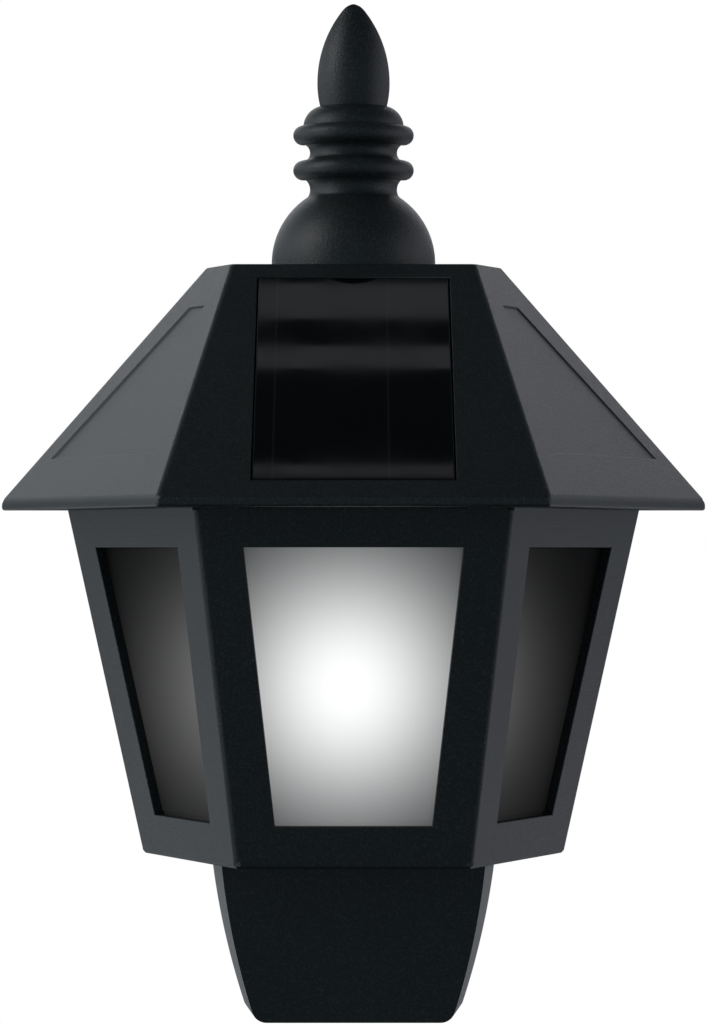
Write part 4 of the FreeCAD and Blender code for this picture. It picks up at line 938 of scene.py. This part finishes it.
class FENCELIGHT_OT_tail(PieceOperator, bpy.types.Operator):
    """Tail: drafted shell with curved sides, rounded lower corners and a leaning front"""
    bl_idname = "fence_light.tail"
    bl_label = "Tail"

    def half_outline(self, given):
        tail, top = given.tail, -given.body.height
        low = top - tail.height
        # the corner's arc is a little wider than high, and its middle lies at three tenths of it
        knee, wider = tail.corner * 0.3, 0.6 * MM
        side = arc_points((tail.top_half, top), (tail.middle_half, top - tail.middle_drop),
                          (tail.low_half, low + tail.corner), 16)
        foot = (tail.low_half - tail.corner - wider, low)
        corner = arc_points((tail.low_half, low + tail.corner),
                            (tail.low_half - knee - wider / 2, low + knee), foot, 8)
        return side + corner + [foot]

    def execute(self, context):
        given = context.scene.fence_light
        tail, shell, top = given.tail, given.shell, -given.body.height
        half = self.half_outline(given)
        outline = half + [(-x, z) for x, z in reversed(half)]
        piece = start_piece("tail", bpy.ops.mesh.primitive_plane_add, size=tail.corner)
        draw_outline([Vector((x, -shell.back, z)) for x, z in outline])
        bpy.ops.mesh.select_all(action='SELECT')
        bpy.ops.mesh.edge_face_add()
        spare = 2 * MM
        deep = tail.top_depth + spare
        extrude_by((0, -deep, 0))
        for side in (-1, 1):
            pick("verts", lambda vertex: vertex.co.y < -deep and vertex.co.x * side > 0)
            bpy.ops.transform.translate(value=(-side * tail.draft * deep, 0, 0))
        tidy_mesh()
        lean = (tail.top_depth - tail.low_depth) / tail.height
        bpy.ops.mesh.select_all(action='SELECT')
        bpy.ops.mesh.bisect(plane_co=(0, -shell.back - tail.top_depth, top), plane_no=(0, -1, -lean),
                            use_fill=True, clear_outer=True, threshold=EXACT)
        tidy_mesh()
        open_sides((0, 1, 0), (0, 0, 1))
        thicken(piece, tail.wall)

        def on_front_edge(edge):
            level = -shell.back - tail.top_depth
            return all(abs(vertex.co.y - level - lean * (top - vertex.co.z)) < NEAR * 2
                       for vertex in edge.verts) and edge.verts[0].co.z < top - NEAR / 2 \
                and len({round(face.normal.y, 2) for face in edge.link_faces}) > 1

        bevel_edges(on_front_edge, tail.edge_round, 4)
        close_piece(piece, "root", "black_abs", self.finishes["shell"], ["tail_shell"])
        return {'FINISHED'}


# ---- Stage ---------------------------------------------------------------------------------------

class FENCELIGHT_OT_stage(PieceOperator, bpy.types.Operator):
    """Pale floor, soft studio light and the camera of the picture"""
    bl_idname = "fence_light.stage"
    bl_label = "Stage"
    aim_depth = 0.03     # the lamps face a point this far in front of the wall

    def execute(self, context):
        self.camera(context.scene)
        self.floor(context.scene.fence_light)
        self.lights(context.scene)
        return {'FINISHED'}

    def camera(self, scene):
        # level and square to the wall; the horizon lies some rows under the picture's middle
        distance, height, horizon_rows, picture_rows = 0.8535, -0.0087, 38, 1024
        bpy.ops.object.camera_add(location=(0, -distance, height), rotation=(math.pi / 2, 0, 0))
        camera = bpy.context.object
        camera.name = "picture_camera"
        camera.data.lens = 135.6
        camera.data.sensor_width = 36
        camera.data.shift_y = horizon_rows / picture_rows
        camera.data.clip_end = 50
        scene.camera = camera

    def floor(self, given):
        wide, under = 2.4, 0.25
        bpy.ops.object.select_all(action='DESELECT')
        bpy.ops.mesh.primitive_plane_add(size=wide, location=(0, 0, CAD_BOX[0][2] - under))
        ground = bpy.context.object
        ground.name = "floor"
        ground.visible_diffuse = ground.visible_glossy = False
        tree, place, close = new_finish("pale_matt_floor")
        cloud = add(tree, 'ShaderNodeTexNoise', {'Vector': place, 'Scale': 3.0})
        shade = add(tree, 'ShaderNodeMix', {0: cloud.outputs['Fac'], 6: tuple(given.colours.floor),
                                            7: linear("#ececeb")}, data_type='RGBA')
        ground.data.materials.append(close(Base_Color=shade.outputs[2], Roughness=0.9,
                                           Emission_Color=linear("#ffffff"), Emission_Strength=0.55))

    def soft_box(self, name, towards, size, radiance, colour):
        """Lamp that faces the light from a place, as bright as its radiance says whatever its size."""
        place, aim = Vector(towards), Vector((0, -self.aim_depth, 0))
        bpy.ops.object.light_add(type='AREA', location=place)
        lamp = bpy.context.object
        lamp.name = name
        lamp.rotation_euler = (aim - place).to_track_quat('-Z', 'Y').to_euler()
        lamp.data.shape = 'RECTANGLE'
        lamp.data.size, lamp.data.size_y = size
        lamp.data.energy = radiance * math.pi * size[0] * size[1]
        lamp.data.color = linear(colour)[:3]
        lamp.visible_camera = False

    def around(self, azimuth, elevation):
        """Place a metre away: degrees round from the back towards the left, and degrees up."""
        turn, rise = math.radians(azimuth), math.radians(elevation)
        return -math.sin(turn) * math.cos(rise), math.cos(turn) * math.cos(rise), math.sin(rise)

    def studio_world(self, scene):
        """White behind the picture; the light that falls on the piece is a pale ring at eye level that
        fades towards the ceiling and the ground."""
        world = bpy.data.worlds.new("studio")
        scene.world = world
        world.use_nodes = True
        tree = world.node_tree
        tree.nodes.clear()
        ring_light, least_light, fall_off = 0.21, 0.03, 1.2
        way = add(tree, 'ShaderNodeTexCoord').outputs['Generated']
        rise = add(tree, 'ShaderNodeSeparateXYZ', {'Vector': way})
        steep = add(tree, 'ShaderNodeMath', {0: rise.outputs['Z']}, operation='ABSOLUTE')
        level = add(tree, 'ShaderNodeMath', {0: 1.0, 1: steep.outputs['Value']}, operation='SUBTRACT')
        ring = add(tree, 'ShaderNodeMath', {0: level.outputs['Value'], 1: fall_off}, operation='POWER')
        power = add(tree, 'ShaderNodeMath', {0: ring.outputs['Value'], 1: ring_light, 2: least_light},
                    operation='MULTIPLY_ADD')
        seen = add(tree, 'ShaderNodeBackground', {'Color': linear("#ffffff"), 'Strength': 1.0})
        fill = add(tree, 'ShaderNodeBackground', {'Color': linear("#dcf4ff"),
                                                  'Strength': power.outputs['Value']})
        path = add(tree, 'ShaderNodeLightPath')
        mixed = add(tree, 'ShaderNodeMixShader', {0: path.outputs['Is Camera Ray'],
                                                  1: fill.outputs['Background'],
                                                  2: seen.outputs['Background']})
        add(tree, 'ShaderNodeOutputWorld', {'Surface': mixed.outputs['Shader']})

    def lights(self, scene):
        scene.view_settings.view_transform = 'Standard'
        self.studio_world(scene)
        cool, warm = "#fafbff", "#fff6ff"
        # name, place, width and height in metres, radiance, colour
        boxes = (
            ("key_box", (-0.77, -0.28, 0.574), (0.5, 0.5), 2.4, cool),
            ("left_side_box", (-0.9, 0, 0.1), (1.0, 0.9), 0.72, cool),
            ("left_high_box", self.around(38, 28.5), (0.8, 0.59), 0.6, cool),
            ("left_low_box", self.around(38, -22.5), (0.8, 0.44), 0.58, cool),
            # upright strip, out to the left and in front
            ("edge_strip", self.around(123, -8), (0.1, 0.9), 2.2, cool),
            ("right_side_box", (0.9, 0, 0.1), (1.0, 0.9), 0.54, warm),
            ("right_high_box", self.around(-38, 28.5), (0.8, 0.59), 0.38, warm),
            ("right_low_box", self.around(-38, -22.5), (0.8, 0.44), 0.46, warm),
            ("back_box", (0, 1.2, 0.35), (1.2, 1.0), 0.9, cool),
        )
        for name, place, size, radiance, colour in boxes:
            self.soft_box(name, place, size, radiance, colour)
        # narrow lamps overhead, by how far behind the wall and how wide: bands on the solar panel
        height, long, radiance = 1.2, 1.0, 0.3
        for index, (behind, wide) in enumerate(((0.3245, 0.019), (0.293, 0.012), (0.230, 0.0065))):
            self.soft_box(f"strip_{index + 1}", (0, behind, height), (long, wide), radiance, cool)


# ---- Panel and registration ------------------------------------------------------------------------

PIECES = (FENCELIGHT_OT_finishes, FENCELIGHT_OT_roof, FENCELIGHT_OT_panel, FENCELIGHT_OT_finial,
          FENCELIGHT_OT_body, FENCELIGHT_OT_panes, FENCELIGHT_OT_tail)


class FENCELIGHT_PT_sidebar(bpy.types.Panel):
    """Lists the steps and the sizes of the fence light"""
    bl_idname = "FENCELIGHT_PT_sidebar"
    bl_label = "Fence light"
    bl_space_type = 'VIEW_3D'
    bl_region_type = 'UI'
    bl_category = "Fence light"

    def draw(self, context):
        given = context.scene.fence_light
        for step in (FENCELIGHT_OT_stage,) + PIECES:
            self.layout.operator(step.bl_idname)
        for group in ("shell", "roof", "panel", "body", "tail", "finial", "colours"):
            box = self.layout.box()
            box.label(text=group.capitalize())
            settings = getattr(given, group)
            for name in settings.__annotations__:
                box.prop(settings, name)


CLASSES = (ShellSizes, RoofSizes, PanelSizes, BodySizes, TailSizes, FinialSizes, Colours, FenceLight,
           FENCELIGHT_OT_stage) + PIECES + (FENCELIGHT_PT_sidebar,)


def register():
    for item in CLASSES:
        bpy.utils.register_class(item)
    bpy.types.Scene.fence_light = PointerProperty(type=FenceLight)


def unregister():
    del bpy.types.Scene.fence_light
    for item in reversed(CLASSES):
        bpy.utils.unregister_class(item)


def main():
    register()
    bpy.ops.fence_light.stage()
    bpy.ops.fence_light.finishes()
    bpy.ops.fence_light.roof()
    bpy.ops.fence_light.panel()
    bpy.ops.fence_light.finial()
    bpy.ops.fence_light.body()
    bpy.ops.fence_light.panes()
    bpy.ops.fence_light.tail()


if __name__ == "__main__":
    main()
